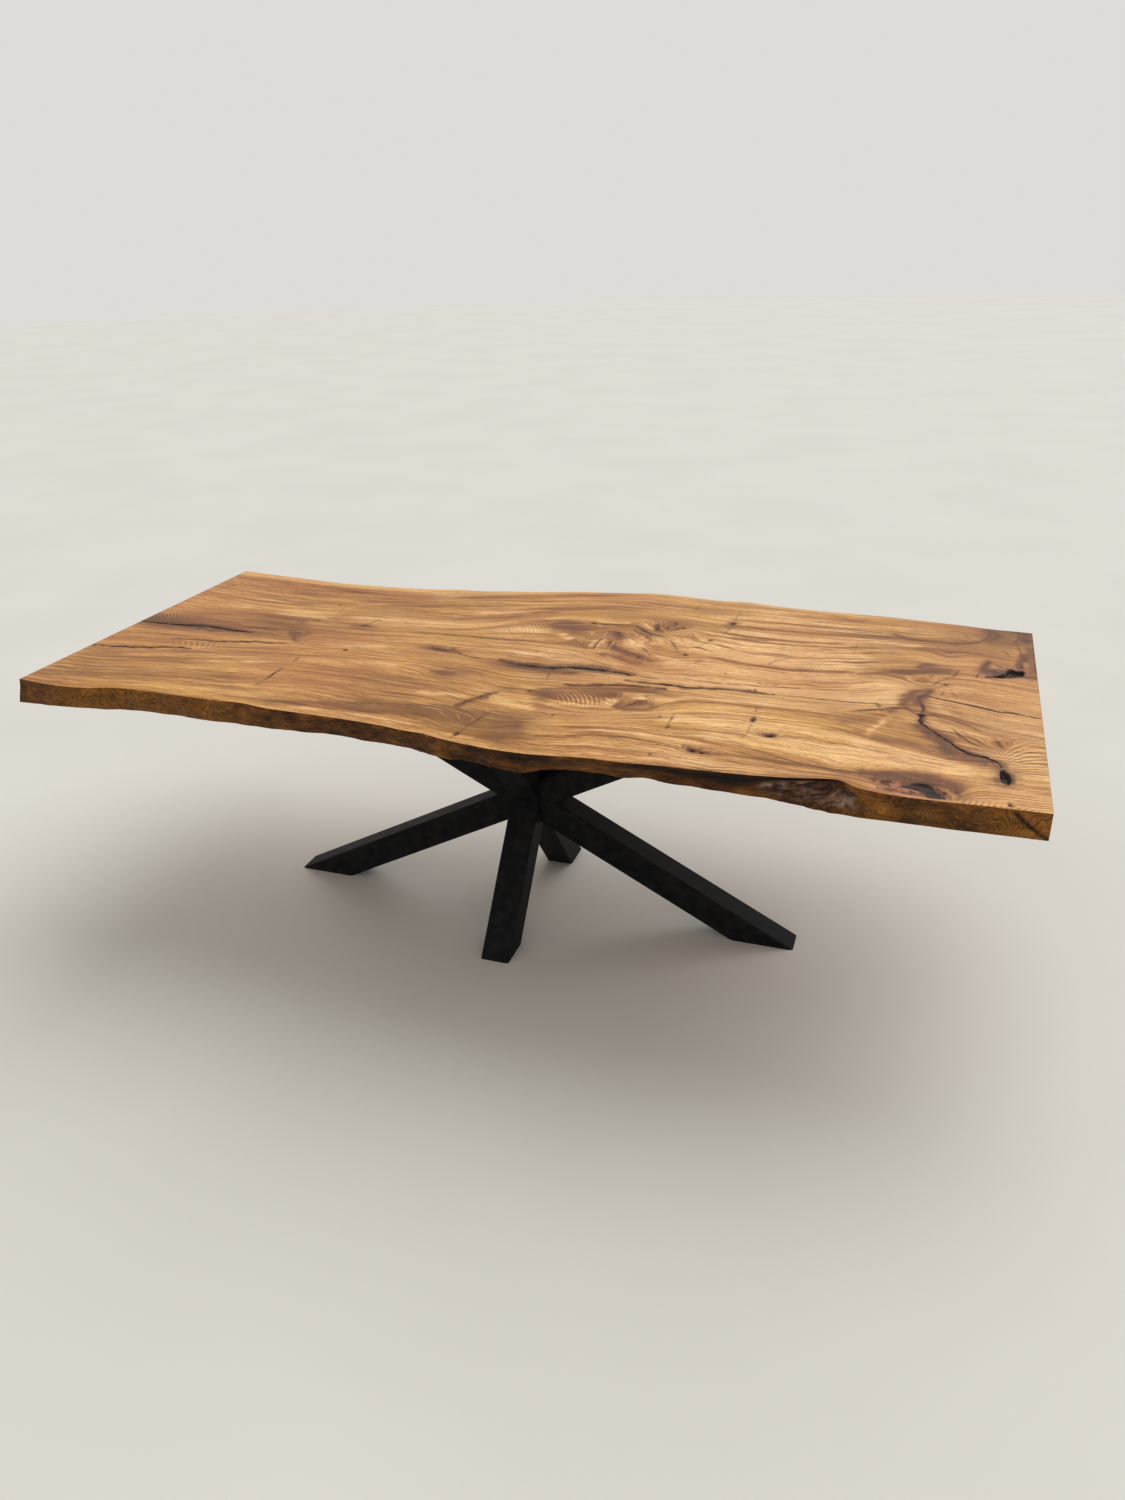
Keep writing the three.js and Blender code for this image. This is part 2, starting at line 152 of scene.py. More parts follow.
# Lighter and darker areas, left to right: x, y, half width, half depth, turn in degrees, change
# (minus is darker)
TONES = (
    (-1180, 110, 70, 60, 0, 0.25), (-1166, 3, 125, 40, 0, -0.75), (-1150, -405, 60, 36, 0, -0.2),
    (-1130, -405, 90, 36, 0, -0.3), (-1125, 161, 125, 30, -4, 0.15), (-1083, -85, 183, 27, 3, -0.35),
    (-1000, -430, 200, 60, 4, -0.1), (-792, 53, 208, 40, 0, -0.32), (-792, 344, 292, 50, -4, -0.22),
    (-792, 130, 92, 27, 0, 0.2), (-750, -272, 125, 14, 12, 0.4), (-730, 45, 80, 30, 0, 0.3),
    (-716, -31, 42, 33, -40, -0.25), (-690, 50, 70, 26, 0, 0.25), (-600, 136, 50, 40, 0, 0.15),
    (-590, -400, 40, 24, 0, -0.25), (-575, 125, 60, 30, 0, 0.2), (-566, 78, 33, 20, 20, -0.35),
    (-500, -72, 125, 18, 2, 0.3), (-480, -500, 380, 14, 0, 0.3), (-475, -483, 60, 24, 0, -0.7),
    (-470, 425, 90, 34, 0, 0.35), (-458, 294, 167, 45, 12, -0.2), (-420, 150, 300, 60, 0, 0.35),
    (-420, -480, 150, 18, 0, -0.4), (-408, -189, 100, 10, 4, 0.5), (-400, -20, 90, 30, 0, 0.3),
    (-390, 390, 160, 50, 6, 0.3), (-285, -95, 70, 18, 0, -0.25), (-275, 278, 50, 26, 14, 0.3),
    (-270, -325, 70, 30, 0, 0.25), (-262, -42, 64, 18, -6, -0.8), (-233, 311, 108, 13, 24, 0.4),
    (-192, -206, 90, 60, 20, -0.3), (-166, -414, 208, 26, 4, -0.5), (-100, 120, 100, 40, 0, 0.2),
    (-83, 178, 75, 66, 20, 0.5), (-40, -200, 120, 60, 0, -0.12), (-30, 20, 160, 40, 4, 0.25),
    (-8, 236, 83, 44, 0, -0.6), (10, -100, 80, 26, 0, -0.45), (20, -252, 47, 30, 0, -0.55),
    (20, -175, 50, 20, 0, 0.25), (108, -481, 118, 84, 0, -0.35), (120, -155, 130, 30, 0, 0.3),
    (120, -400, 50, 26, 0, -0.2), (125, -20, 44, 24, 0, 0.3), (125, 350, 50, 30, 0, -0.25),
    (140, 106, 46, 36, 0, 0.55), (150, -335, 140, 30, 0, -0.2), (158, 194, 40, 26, -20, -0.75),
    (183, -248, 96, 30, 24, -0.8), (192, 52, 125, 24, -28, -0.7), (225, 125, 40, 30, 0, -0.2),
    (228, 128, 46, 26, -36, 0.9), (230, -108, 60, 14, 0, 0.3), (275, 286, 50, 34, 30, -0.6),
    (275, -277, 22, 16, 0, 0.35), (320, 110, 60, 50, 0, -0.25), (325, -480, 60, 36, 0, -0.3),
    (325, 425, 46, 36, 0, -0.2), (330, 125, 40, 30, 0, -0.25), (335, -268, 44, 30, 30, -0.6),
    (350, 400, 220, 30, -6, 0.15), (380, -350, 60, 40, 0, -0.1), (420, 5, 190, 40, -4, 0.35),
    (430, -250, 46, 24, 0, -0.25), (520, 285, 60, 26, 0, 0.3), (525, -100, 60, 14, 0, 0.25),
    (540, -398, 48, 22, 0, 0.6), (542, 94, 100, 27, -6, 0.45), (560, -95, 260, 34, 0, 0.5),
    (592, 161, 190, 42, -4, 0.75), (600, -175, 200, 24, 0, 0.25), (608, 269, 167, 16, 2, 0.4),
    (610, 212, 130, 26, 0, 0.4), (620, -540, 260, 14, 3, 0.15), (625, -316, 217, 14, 0, 0.6),
    (640, 430, 280, 50, -4, 0.12), (640, -398, 40, 26, 0, 0.3), (640, -480, 50, 20, 0, -0.25),
    (700, 60, 160, 30, 4, 0.3), (730, 50, 50, 24, 0, 0.2), (760, -381, 130, 40, -8, 0.4),
    (780, -545, 70, 20, 0, -0.3), (825, 200, 50, 30, 0, -0.25), (832, -18, 46, 25, 0, 0.65),
    (840, -540, 60, 16, 0, -0.3), (860, 235, 80, 60, 0, -0.3), (883, -98, 83, 40, 0, 0.35),
    (905, 108, 70, 20, 18, -0.5), (920, -300, 150, 74, -14, -0.42), (925, 425, 46, 40, 0, -0.3),
    (925, 240, 46, 60, 0, -0.25), (925, -20, 36, 30, 0, 0.3), (940, 430, 90, 50, 0, -0.4),
    (962, -64, 24, 60, 0, -0.45), (990, 24, 26, 34, 0, -0.35), (992, 148, 66, 36, 16, -0.7),
    (1000, -486, 100, 24, -10, -0.8), (1028, -400, 43, 32, 0, -0.75), (1030, 425, 40, 40, 0, -0.3),
    (1040, -430, 70, 40, 0, 0.3), (1090, 330, 110, 110, 0, -0.4), (1125, 45, 70, 40, 0, -0.25),
    (1142, -281, 33, 30, 0, -0.5), (1175, 444, 92, 108, 0, -0.8), (1180, -190, 70, 50, 0, 0.2),
    (1186, -340, 50, 80, 20, 0.35),
)

# Lighter and darker bands, most of them along the grain, by area and back to front in each: half
# width, change (minus is darker), centre line
STROKES = (
    # the left end
    (9, 0.3, ((-1240, 395), (-1080, 372), (-900, 352), (-700, 342))),
    (8, -0.3, ((-1240, 318), (-1100, 292), (-960, 272), (-800, 262), (-640, 262))),
    (8, 0.35, ((-1230, 275), (-1100, 248), (-980, 230), (-860, 222))),
    (9, -0.35, ((-1230, 232), (-1100, 215), (-980, 212), (-850, 205), (-760, 206))),
    (18, 0.2, ((-1220, 145), (-1150, 150), (-1080, 150), (-980, 148))),
    (18, 0.15, ((-650, 138), (-540, 150))),
    (18, 0.2, ((-880, 124), (-800, 134), (-740, 128), (-690, 116))),
    (7, 0.35, ((-890, 112), (-800, 118), (-700, 114))),
    (11, -0.5, ((-600, 78), (-560, 84), (-518, 76))),
    (12, -0.3, ((-750, 100), (-760, 70), (-720, 50))),
    (14, -0.3, ((-900, 82), (-820, 86), (-760, 72), (-728, 44))),
    (20, -0.25, ((-960, 40), (-860, 42), (-780, 30), (-722, 2), (-690, -40))),
    (14, -0.6, ((-1240, 10), (-1160, 16), (-1080, 14), (-980, 8), (-900, -6))),
    (9, -0.45, ((-890, -14), (-820, -12), (-762, -8))),
    (10, -0.25, ((-730, -14), (-706, -54), (-684, -92))),
    (9, -0.35, ((-1240, -74), (-1120, -78), (-1020, -74))),
    (6, 0.5, ((-590, -96), (-500, -76), (-420, -66))),
    (8, 0.25, ((-1100, -300), (-960, -280), (-820, -256), (-700, -240))),
    (6, 0.45, ((-900, -300), (-800, -276), (-700, -256), (-640, -252))),
    (9, -0.25, ((-1240, -330), (-1100, -322), (-960, -296), (-820, -276), (-700, -262))),
    (9, -0.3, ((-1240, -416), (-1140, -444), (-1000, -424), (-880, -408))),
    # the middle, back half, with the burl
    (11, -0.3, ((-410, 392), (-300, 402), (-200, 420), (-100, 440))),
    (10, -0.5, ((-135, 308), (-100, 322), (-55, 336))),
    (8, 0.5, ((72, 292), (120, 290), (176, 300))),
    (7, 0.5, ((-345, 238), (-290, 262), (-240, 288), (-190, 306), (-150, 322))),
    (7, 0.5, ((215, 300), (228, 276), (244, 256))),
    (7, 0.45, ((68, 252), (100, 254), (130, 260))),
    (16, -0.4, ((-40, 262), (0, 250), (50, 240))),
    (12, -0.35, ((-330, 214), (-260, 234), (-200, 260), (-150, 292))),
    (12, -0.4, ((-160, 232), (-100, 250), (-60, 264))),
    (30, -0.65, ((-45, 214), (0, 222), (40, 218), (70, 196))),
    (11, -0.9, ((140, 214), (158, 200), (172, 180), (178, 160))),
    (8, 0.4, ((298, 198), (340, 170), (392, 160))),
    (14, 0.5, ((10, 158), (30, 142), (52, 128))),
    (12, 1.1, ((210, 154), (226, 142), (238, 126))),
    (4, 0.9, ((160, 148), (170, 104), (178, 72))),
    (4, 1.1, ((136, 148), (138, 104), (148, 62))),
    (4, 0.8, ((118, 132), (116, 104), (122, 66))),
    (10, -0.6, ((368, 86), (384, 84))),
    (12, -0.5, ((75, 90), (105, 78), (130, 60))),
    (8, -0.4, ((-410, 68), (-300, 73), (-200, 73), (-100, 79), (-40, 86))),
    (10, -0.8, ((148, 160), (162, 122), (186, 84), (220, 60), (258, 44), (292, 24), (320, 12))),
    (8, -0.5, ((428, 62), (430, 40))),
    (9, 0.5, ((300, 60), (340, 40), (380, 22), (430, 10))),
    (13, -0.6, ((150, 40), (190, 26), (240, 6), (290, -10))),
    # the middle, front half, with the centre crack and the knot by the bow
    (24, 0.35, ((-80, -20), (0, -12), (80, -24), (160, -34), (250, -30))),
    (12, -0.6, ((104, -118), (124, -116), (144, -108))),
    (10, -0.5, ((-40, -110), (0, -112), (60, -116), (100, -120))),
    (8, 0.3, ((-460, -190), (-380, -186), (-330, -190))),
    (12, -0.5, ((160, -210), (220, -200), (300, -180), (380, -172))),
    (20, -0.3, ((-200, -180), (-176, -206), (-150, -200))),
    (14, -0.6, ((118, -226), (160, -213), (220, -198), (300, -186), (380, -190), (420, -206))),
    (16, 0.5, ((372, -236), (396, -226), (418, -218))),
    (16, -0.7, ((200, -226), (240, -236), (288, -228))),
    (9, 0.6, ((312, -238), (335, -232), (356, -226))),
    (14, -0.5, ((330, -264), (360, -258), (385, -262))),
    (26, -0.6, ((90, -232), (110, -262), (108, -290))),
    (24, -0.55, ((100, -262), (140, -268), (180, -276))),
    (16, 0.4, ((256, -262), (280, -276), (296, -292))),
    (12, 0.5, ((268, -258), (276, -276), (284, -296))),
    (9, -0.25, ((-560, -250), (-450, -262), (-330, -272), (-200, -290), (-100, -310))),
    (9, -0.7, ((300, -262), (300, -300), (330, -308), (372, -292), (400, -268))),
    (12, 0.35, ((130, -318), (190, -312), (250, -306))),
    (8, -0.5, ((-14, -300), (-15, -335))),
    (14, 0.5, ((-200, -338), (-120, -330), (-60, -334))),
    (4, 0.8, ((60, -302), (90, -335), (122, -372))),
    (12, -0.6, ((-10, -292), (-24, -306), (-38, -335), (-52, -362), (-62, -400))),
    (15, 0.45, ((-30, -330), (20, -332), (70, -347), (115, -374))),
    (8, -0.25, ((-560, -340), (-420, -344), (-300, -352), (-180, -366))),
    (20, 0.45, ((6, -335), (50, -345), (90, -372))),
    (8, 0.25, ((-420, -368), (-300, -378), (-180, -392), (-120, -398))),
    (6, -0.55, ((210, -436), (270, -428), (321, -419), (385, -415), (448, -424), (520, -430), (590, -440))),
    (16, -0.6, ((-330, -456), (-250, -436), (-180, -424), (-110, -420), (-30, -425), (60, -420))),
    (6, 0.45, ((232, -455), (296, -440), (359, -428), (423, -431), (499, -437), (575, -446))),
    (20, -0.3, ((-420, -470), (-250, -466), (-100, -455), (20, -470), (130, -480))),
    (24, -0.5, ((-420, -474), (-300, -474), (-180, -466), (-60, -462), (60, -470))),
    (46, -0.6, ((20, -440), (90, -460), (120, -520))),
    (6, -0.55, ((165, -503), (220, -493), (258, -478), (309, -461), (372, -457), (448, -463))),
    (8, 0.3, ((210, -524), (296, -515), (372, -509), (450, -508))),
    (30, -0.4, ((-120, -500), (0, -520), (120, -540))),
    (8, 0.6, ((-480, -498), (-350, -500), (-250, -505), (-100, -524), (0, -550), (120, -572))),
    # right of the burl, back half
    (10, -0.5, ((570, 484), (640, 474), (720, 472), (820, 469), (900, 464))),
    (9, 0.55, ((430, 432), (520, 424), (620, 420), (720, 418), (800, 420))),
    (9, -0.6, ((440, 404), (540, 401), (640, 400), (740, 398), (860, 396))),
    (9, 0.35, ((450, 384), (560, 380), (680, 378), (780, 380))),
    (11, -0.75, ((440, 352), (520, 344), (600, 340), (700, 342), (800, 350), (900, 362))),
    (11, 0.75, ((430, 302), (480, 292), (560, 284), (640, 282), (720, 288))),
    (6, -0.85, ((440, 284), (500, 272), (580, 264), (660, 264), (760, 276))),
    (5, -0.9, ((450, 250), (500, 240), (580, 232), (660, 233), (760, 246), (860, 268))),
    (8, 0.6, ((440, 248), (470, 226), (520, 210), (600, 203), (700, 206), (800, 222))),
    (5, -0.7, ((450, 216), (500, 200), (580, 190), (660, 189), (760, 202), (860, 232))),
    (20, 0.65, ((480, 188), (540, 176), (600, 168), (680, 166), (760, 178), (840, 196))),
    (6, -1.1, ((440, 184), (490, 156), (540, 141), (600, 135), (660, 138), (740, 155), (820, 178))),
    (20, 0.7, ((470, 130), (520, 112), (600, 100), (700, 98), (780, 110))),
    (10, -0.8, ((440, 90), (500, 68), (560, 54), (640, 47), (720, 54), (800, 74))),
    (16, 0.3, ((450, 45), (520, 22), (600, 12), (680, 15), (760, 28), (830, 45))),
    # right of the burl, front half
    (9, 0.35, ((400, -222), (440, -202), (500, -190), (600, -186), (700, -190), (780, -198))),
    (12, -0.45, ((395, -265), (430, -232), (480, -215), (560, -208), (640, -207), (720, -214), (790, -228))),
    (13, 0.85, ((410, -350), (470, -327), (540, -310), (620, -305), (700, -308), (780, -318), (850, -334),
                (920, -354), (1000, -384), (1070, -402))),
    (9, -0.3, ((400, -398), (480, -378), (560, -368), (610, -366))),
    (14, -0.5, ((600, -466), (680, -478), (760, -491), (860, -500), (940, -498))),
    (6, -0.5, ((540, -484), (588, -484), (676, -489), (772, -495), (867, -499))),
    # the right end, back half, with the bark pocket
    (26, -0.9, ((1200, 495), (1190, 450), (1180, 400))),
    (20, -0.8, ((1120, 500), (1140, 450), (1146, 410), (1120, 385))),
    (14, -0.5, ((870, 402), (900, 372), (960, 352), (1040, 352), (1100, 380))),
    (12, -0.8, ((1224, 500), (1224, 400), (1222, 300), (1226, 150))),
    (12, 0.4, ((830, 308), (900, 305), (960, 312))),
    (10, -0.6, ((1210, 320), (1204, 280), (1200, 250))),
    (14, -0.7, ((1100, 160), (1108, 200), (1120, 235))),
    (14, -0.5, ((962, 152), (985, 172), (1006, 166))),
    (24, -0.7, ((880, 92), (930, 106), (975, 122), (1020, 134), (1048, 126))),
    (12, -0.35, ((820, 62), (860, 84), (900, 98))),
    (14, -0.35, ((945, 60), (975, 74), (1010, 92))),
    # the right end, front half, with the fork and the bark shelf
    (20, 0.3, ((850, 24), (895, 2), (902, -40), (888, -84))),
    (10, -0.9, ((985, 0), (962, -20), (945, -50), (938, -85), (942, -118))),
    (12, 0.35, ((1000, -70), (1010, -110), (1030, -135))),
    (9, -0.5, ((940, -126), (925, -140), (900, -158))),
    (24, -0.45, ((800, -250), (850, -212), (905, -180), (935, -150))),
    (7, 0.6, ((920, -170), (895, -212), (882, -262), (868, -315))),
    (18, -0.6, ((986, -232), (1010, -268), (1036, -310), (1060, -345), (1100, -370))),
    (16, -0.5, ((770, -290), (850, -300), (930, -322), (1000, -352), (1060, -378))),
    (24, 0.5, ((862, -374), (940, -388), (1010, -412), (1080, -424))),
    (22, 0.3, ((700, -400), (800, -422), (900, -440), (1000, -446))),
    (18, -0.8, ((890, -492), (940, -486), (1000, -482), (1040, -496), (1060, -535))),
    (10, 0.7, ((1040, -530), (1050, -540), (1056, -552))),
)

# Areas of purple and grey stain, left to right: x, y, half width, half depth, turn in degrees, strength
STAINS = (
    (-1180, -16, 130, 40, 0, 0.95), (-1020, -56, 170, 24, 2, 0.75), (-716, -36, 40, 26, -40, 0.2),
    (-262, -44, 56, 13, -4, 0.9), (10, -100, 90, 26, -6, 0.95), (445, 360, 14, 34, 0, 0.5),
    (520, -122, 60, 10, 0, 0.4), (530, -480, 30, 14, -20, 0.7), (672, -362, 26, 14, 0, 0.6),
    (1150, 160, 56, 30, 20, 0.9), (1150, -440, 18, 40, 8, 0.8),
)

# Bands of the same stain: half width, strength, centre line
STAIN_LINES = (
    (22, 0.7, ((984, -222), (1000, -258), (1026, -300), (1040, -345))),
    (14, 0.6, ((1040, -352), (1080, -372), (1112, -378))),
    (12, 0.6, ((1112, -352), (1126, -376), (1138, -398))),
    (10, 0.8, ((988, 0), (985, -22), (972, -44), (966, -66), (970, -96))),
    (16, 0.4, ((950, -20), (938, -60), (940, -112))),
    (14, 0.8, ((905, -514), (950, -506), (1000, -498), (1030, -514))),
    (22, 0.5, ((880, -494), (950, -480), (1010, -476), (1050, -500), (1064, -540))),
    (12, 0.7, ((1196, 150), (1216, 144), (1233, 148))),
    (10, 0.6, ((1110, 150), (1110, 190), (1120, 232))),
    (10, 0.7, ((1198, 196), (1198, 240), (1202, 290))),
    (18, 0.6, ((1130, 496), (1142, 440), (1130, 400))),
    (20, 0.75, ((1190, 500), (1216, 480), (1214, 420))),
    (10, 0.85, ((144, 212), (160, 198), (174, 170))),
    (12, 0.5, ((164, 120), (190, 84), (226, 60), (262, 40))),
    (10, 0.7, ((240, 298), (252, 276), (260, 254))),
    (16, 0.3, ((10, 214), (56, 214))),
    (10, 0.6, ((960, 160), (978, 172))),
)

# Cracks: widest opening, depth that shows, reach of the dark stain beside it, and the centre line
CRACKS = (
    (9, 3, 26, ((-1240, -47), (-1152, -50), (-1100, -47), (-1000, -40), (-950, -45), (-900, -52),
                (-850, -52))),
    (6, 2.2, 6, ((-1242, -258), (-1176, -257), (-1100, -247), (-1050, -235), (-1000, -221), (-935, -214))),
    (6, 1.1, 6, ((-1040, -157), (-990, -151), (-890, -143), (-850, -139), (-820, -127), (-790, -118),
                 (-710, -111))),
    (5, 1.5, 14, ((-84, -76), (-66, -86), (-50, -92), (-20, -97), (10, -99), (40, -99))),
    (10, 3.2, 26, ((-30, -97), (20, -100), (62, -97), (92, -90), (112, -78), (150, -75),
                   (195, -75), (235, -81), (285, -91))),
    (7, 1.2, 6, ((270, -131), (320, -129), (385, -130), (430, -135), (490, -127), (545, -119), (641, -127))),
    (9, 2.6, 8, ((364, -127), (390, -131), (420, -135), (464, -134))),
    (9, 1.4, 9, ((140, -194), (160, -198), (190, -187), (235, -174), (285, -162), (335, -157), (385, -160))),
    (8, 1.3, 3, ((985, -38), (1000, -45), (1050, -61), (1100, -77), (1140, -93), (1180, -97), (1242, -110))),
    (6, 3, 10, ((974, -150), (976, -176), (974, -190), (980, -208), (992, -224), (1004, -242))),
    (5, 2.4, 14, ((1004, -242), (1020, -266), (1034, -284), (1046, -300))),
    (6.5, 3, 12, ((1046, -300), (1054, -314), (1066, -326), (1078, -340), (1094, -345), (1114, -349),
                (1126, -360), (1138, -370), (1144, -392))),
)

# Dark seams and hair cracks, too fine to cut, by area: width, strength, centre line
SEAMS = (
    # the left end
    (9, 0.55, ((-905, -26), (-860, -15), (-800, -10), (-760, -8))),
    (9, 0.3, ((-748, -14), (-715, -50), (-690, -85), (-655, -100))),
    (4, 0.5, ((-608, -195), (-602, -238))),
    (6, 0.9, ((-609, -276), (-607, -325), (-605, -368))),
    (3, 0.3, ((-605, -368), (-606, -412))),
    (4, 0.3, ((-640, -106), (-600, -98), (-556, -94))),
    (4, 0.35, ((-1176, 350), (-1190, 310), (-1200, 280))),
    (3, 0.2, ((-718, 262), (-706, 224), (-698, 180))),
    (5, 0.35, ((-546, 150), (-552, 112), (-566, 88))),
    # the middle, back half, with the burl
    (6, 0.5, ((-410, 68), (-300, 73), (-200, 73), (-100, 79), (-40, 86))),
    (9, 0.5, ((62, 276), (76, 268), (105, 270), (150, 276), (188, 287))),
    (11, 0.75, ((186, 286), (205, 262), (225, 239), (250, 220), (275, 212), (290, 203))),
    (7, 0.45, ((190, 246), (212, 222), (238, 202), (258, 194))),
    (7, 0.4, ((290, 203), (320, 170), (343, 122), (352, 100))),
    (4, 0.8, ((248, 112), (262, 98), (277, 82))),
    (4, 0.75, ((129, 152), (125, 122), (132, 60))),
    (4, 0.6, ((152, 152), (160, 118), (166, 66))),
    (4, 0.5, ((170, 138), (176, 104), (186, 70))),
    (3, 0.5, ((140, 76), (143, 60), (147, 44))),
    (11, 0.85, ((238, 296), (250, 290), (252, 272), (256, 252))),
    (5, 0.6, ((272, 260), (279, 288), (284, 264), (292, 258))),
    (8, 0.75, ((290, 262), (303, 273), (311, 290), (322, 297))),
    (7, 0.7, ((285, 337), (291, 328), (297, 318))),
    (3, 0.5, ((276, 292), (282, 320), (288, 330))),
    (5, 0.5, ((374, 156), (386, 150), (400, 147), (424, 134))),
    (4, 0.3, ((430, 224), (414, 200), (400, 176), (396, 150))),
    (4, 0.2, ((322, 510), (320, 470), (322, 430))),
    (3, 0.15, ((-172, 200), (-142, 150), (-112, 102))),
    (4, 0.5, ((-120, 482), (-60, 504), (0, 520), (34, 531))),
    # the middle, front half, with the centre crack and the knot by the bow
    (10, 0.6, ((0, -286), (-18, -300), (-40, -338), (-54, -364), (-66, -402))),
    (8, 0.45, ((-16, -302), (-15, -338))),
    (7, 0.4, ((27, -395), (18, -440), (8, -490), (0, -550))),
    (7, 0.5, ((285, -91), (320, -97), (352, -99))),
    (4, 0.4, ((330, -452), (400, -460), (450, -465), (520, -480))),
    (3, 0.5, ((75, -120), (80, -150), (86, -182))),
    (8, 0.6, ((108, -126), (126, -118), (146, -106))),
    (4, 0.6, ((-200, -60), (-165, -76), (-140, -79), (-100, -72), (-84, -76))),
    (8, 0.65, ((306, -301), (322, -286), (335, -265), (345, -250), (362, -237))),
    (5, 0.4, ((-330, -450), (-250, -430), (-180, -415), (-110, -410))),
    # right of the burl, back half
    (5, 0.3, ((447, 480), (446, 430), (446, 366), (443, 300), (436, 262))),
    (4, 0.5, ((638, 130), (606, 100), (592, 66))),
    (7, 0.35, ((440, 76), (500, 66), (560, 56), (640, 48), (720, 58), (800, 74))),
    (4, 0.15, ((792, 320), (794, 250), (790, 195))),
    # right of the burl, front half
    (13, 0.5, ((560, -121), (585, -123), (612, -124))),
    (5, 0.6, ((641, -127), (700, -122), (760, -125), (820, -125), (870, -118), (925, -128))),
    (5, 0.5, ((410, -76), (460, -88), (520, -86), (600, -79), (680, -72), (740, -65), (800, -55))),
    (7, 0.4, ((400, -252), (440, -226), (500, -212), (600, -206), (700, -213))),
    (4, 0.3, ((613, -205), (616, -240), (618, -270))),
    (8, 0.6, ((618, -266), (619, -302))),
    (4, 0.25, ((619, -302), (618, -360), (612, -400))),
    (4, 0.25, ((439, -296), (440, -330), (443, -404))),
    (7, 0.5, ((608, -430), (660, -448), (700, -462), (740, -481), (820, -495), (900, -495), (985, -490))),
    # the right end, back half, with the bark pocket
    (6, 0.55, ((945, 48), (965, 56), (1000, 55), (1026, 48))),
    (6, 0.6, ((1036, 100), (1045, 124), (1050, 152))),
    (5, 0.5, ((1092, 108), (1094, 128), (1100, 150))),
    (8, 0.85, ((1202, 200), (1196, 220), (1199, 248))),
    (6, 0.4, ((1199, 248), (1202, 300), (1196, 345), (1190, 400))),
    (7, 0.5, ((1112, 158), (1110, 190), (1120, 226), (1114, 246))),
    (5, 0.6, ((1136, 222), (1146, 208), (1156, 196))),
    (5, 0.6, ((1122, 200), (1118, 180), (1116, 160))),
    (9, 0.6, ((1200, 150), (1214, 143), (1232, 146))),
    (8, 0.5, ((870, 402), (895, 378), (920, 357), (980, 352), (1040, 352), (1085, 368), (1106, 392),
              (1122, 425), (1126, 470), (1120, 502))),
    (6, 0.5, ((1176, 378), (1186, 398), (1196, 430), (1198, 470))),
    (5, 0.45, ((1156, 332), (1164, 310), (1172, 288))),
    (5, 0.4, ((1060, 440), (1064, 420), (1076, 398))),
    (9, 0.8, ((1110, 506), (1160, 500), (1232, 492))),
    (6, 0.5, ((1229, 500), (1229, 400), (1229, 300), (1229, 150))),
    # the right end, front half, with the fork and the bark shelf
    (12, 0.8, ((902, -532), (908, -520), (930, -516), (950, -516))),
    (10, 0.5, ((1050, -505), (1058, -525), (1064, -545))),
    (7, 0.75, ((820, -180), (840, -169), (870, -156), (905, -140), (925, -129), (940, -125), (950, -136),
               (962, -151), (974, -158))),
    (9, 1.0, ((968, -157), (988, -155), (1003, -152), (1022, -161))),
    (7, 0.6, ((1018, -160), (1045, -172), (1075, -190), (1090, -205), (1107, -218))),
    (5, 0.35, ((1107, -218), (1150, -228), (1230, -236))),
    (9, 1.0, ((990, -38), (973, -42), (966, -55), (969, -76), (975, -100), (981, -124), (977, -145),
              (974, -160))),
    (6, 0.6, ((1045, -218), (1055, -238), (1065, -260), (1082, -282), (1102, -299))),
    (4, 0.4, ((1064, -226), (1078, -248), (1096, -268), (1112, -280))),
    (4, 0.5, ((1021, 2), (1018, -14), (1014, -28))),
    (4, 0.4, ((1038, 4), (1043, -14), (1052, -26))),
    (4, 0.35, ((1036, -92), (1048, -98), (1057, -102))),
    (4, 0.5, ((875, -110), (880, -125), (885, -140))),
    (10, 0.5, ((1138, -262), (1142, -282), (1148, -298))),
)

# Small dark knots and bird-peck marks, left to right: x, y, half width, half depth, turn in degrees,
# pit depth
MARKS = (
    (-1176, 343, 5, 6, 0, 2), (-727, 234, 7, 6, 0, 2), (-722, 92, 16, 5, 10, 2), (-607, -338, 3, 13, 0, 3),
    (-562, 84, 14, 7, 30, 3), (-516, -114, 8, 6, -15, 4), (-278, -43, 12, 4, 10, 3),
    (-252, -46, 11, 3, -8, 3), (-236, -36, 12, 5, 40, 3), (-218, -50, 8, 3, -30, 2),
    (-204, -58, 12, 4, -40, 2), (-6, -292, 8, 5, 30, 2), (0, -541, 7, 12, 0, 3), (66, 273, 9, 6, 0, 4),
    (70, -259, 7, 9, 0, 2), (158, 204, 12, 7, -10, 2), (172, -384, 3, 6, 0, 3), (242, 60, 6, 4, -40, 2),
    (244, 298, 10, 5, 60, 3), (254, 264, 8, 5, 50, 3), (262, 34, 8, 5, -40, 3), (292, 326, 5, 14, 0, 2),
    (322, 292, 9, 5, -50, 3), (374, 86, 7, 9, 0, 3), (394, 148, 8, 5, -20, 2), (411, -326, 3, 6, 0, 3),
    (414, 214, 8, 9, 20, 2), (440, -328, 3, 6, 0, 3), (441, -524, 5, 5, 0, 3), (443, -376, 7, 9, 0, 2),
    (447, 366, 7, 10, 0, 4), (503, -20, 3, 7, 0, 2), (522, -482, 14, 9, -35, 4), (544, -489, 9, 5, -20, 4),
    (577, -116, 9, 9, 0, 2), (592, -110, 5, 8, 0, 2), (618, -286, 7, 13, 0, 3), (668, -363, 12, 8, 15, 5),
    (976, -158, 11, 8, 0, 6), (1024, 46, 6, 6, 0, 3), (1136, -266, 6, 7, 0, 2), (1156, -556, 5, 9, 0, 4),
)

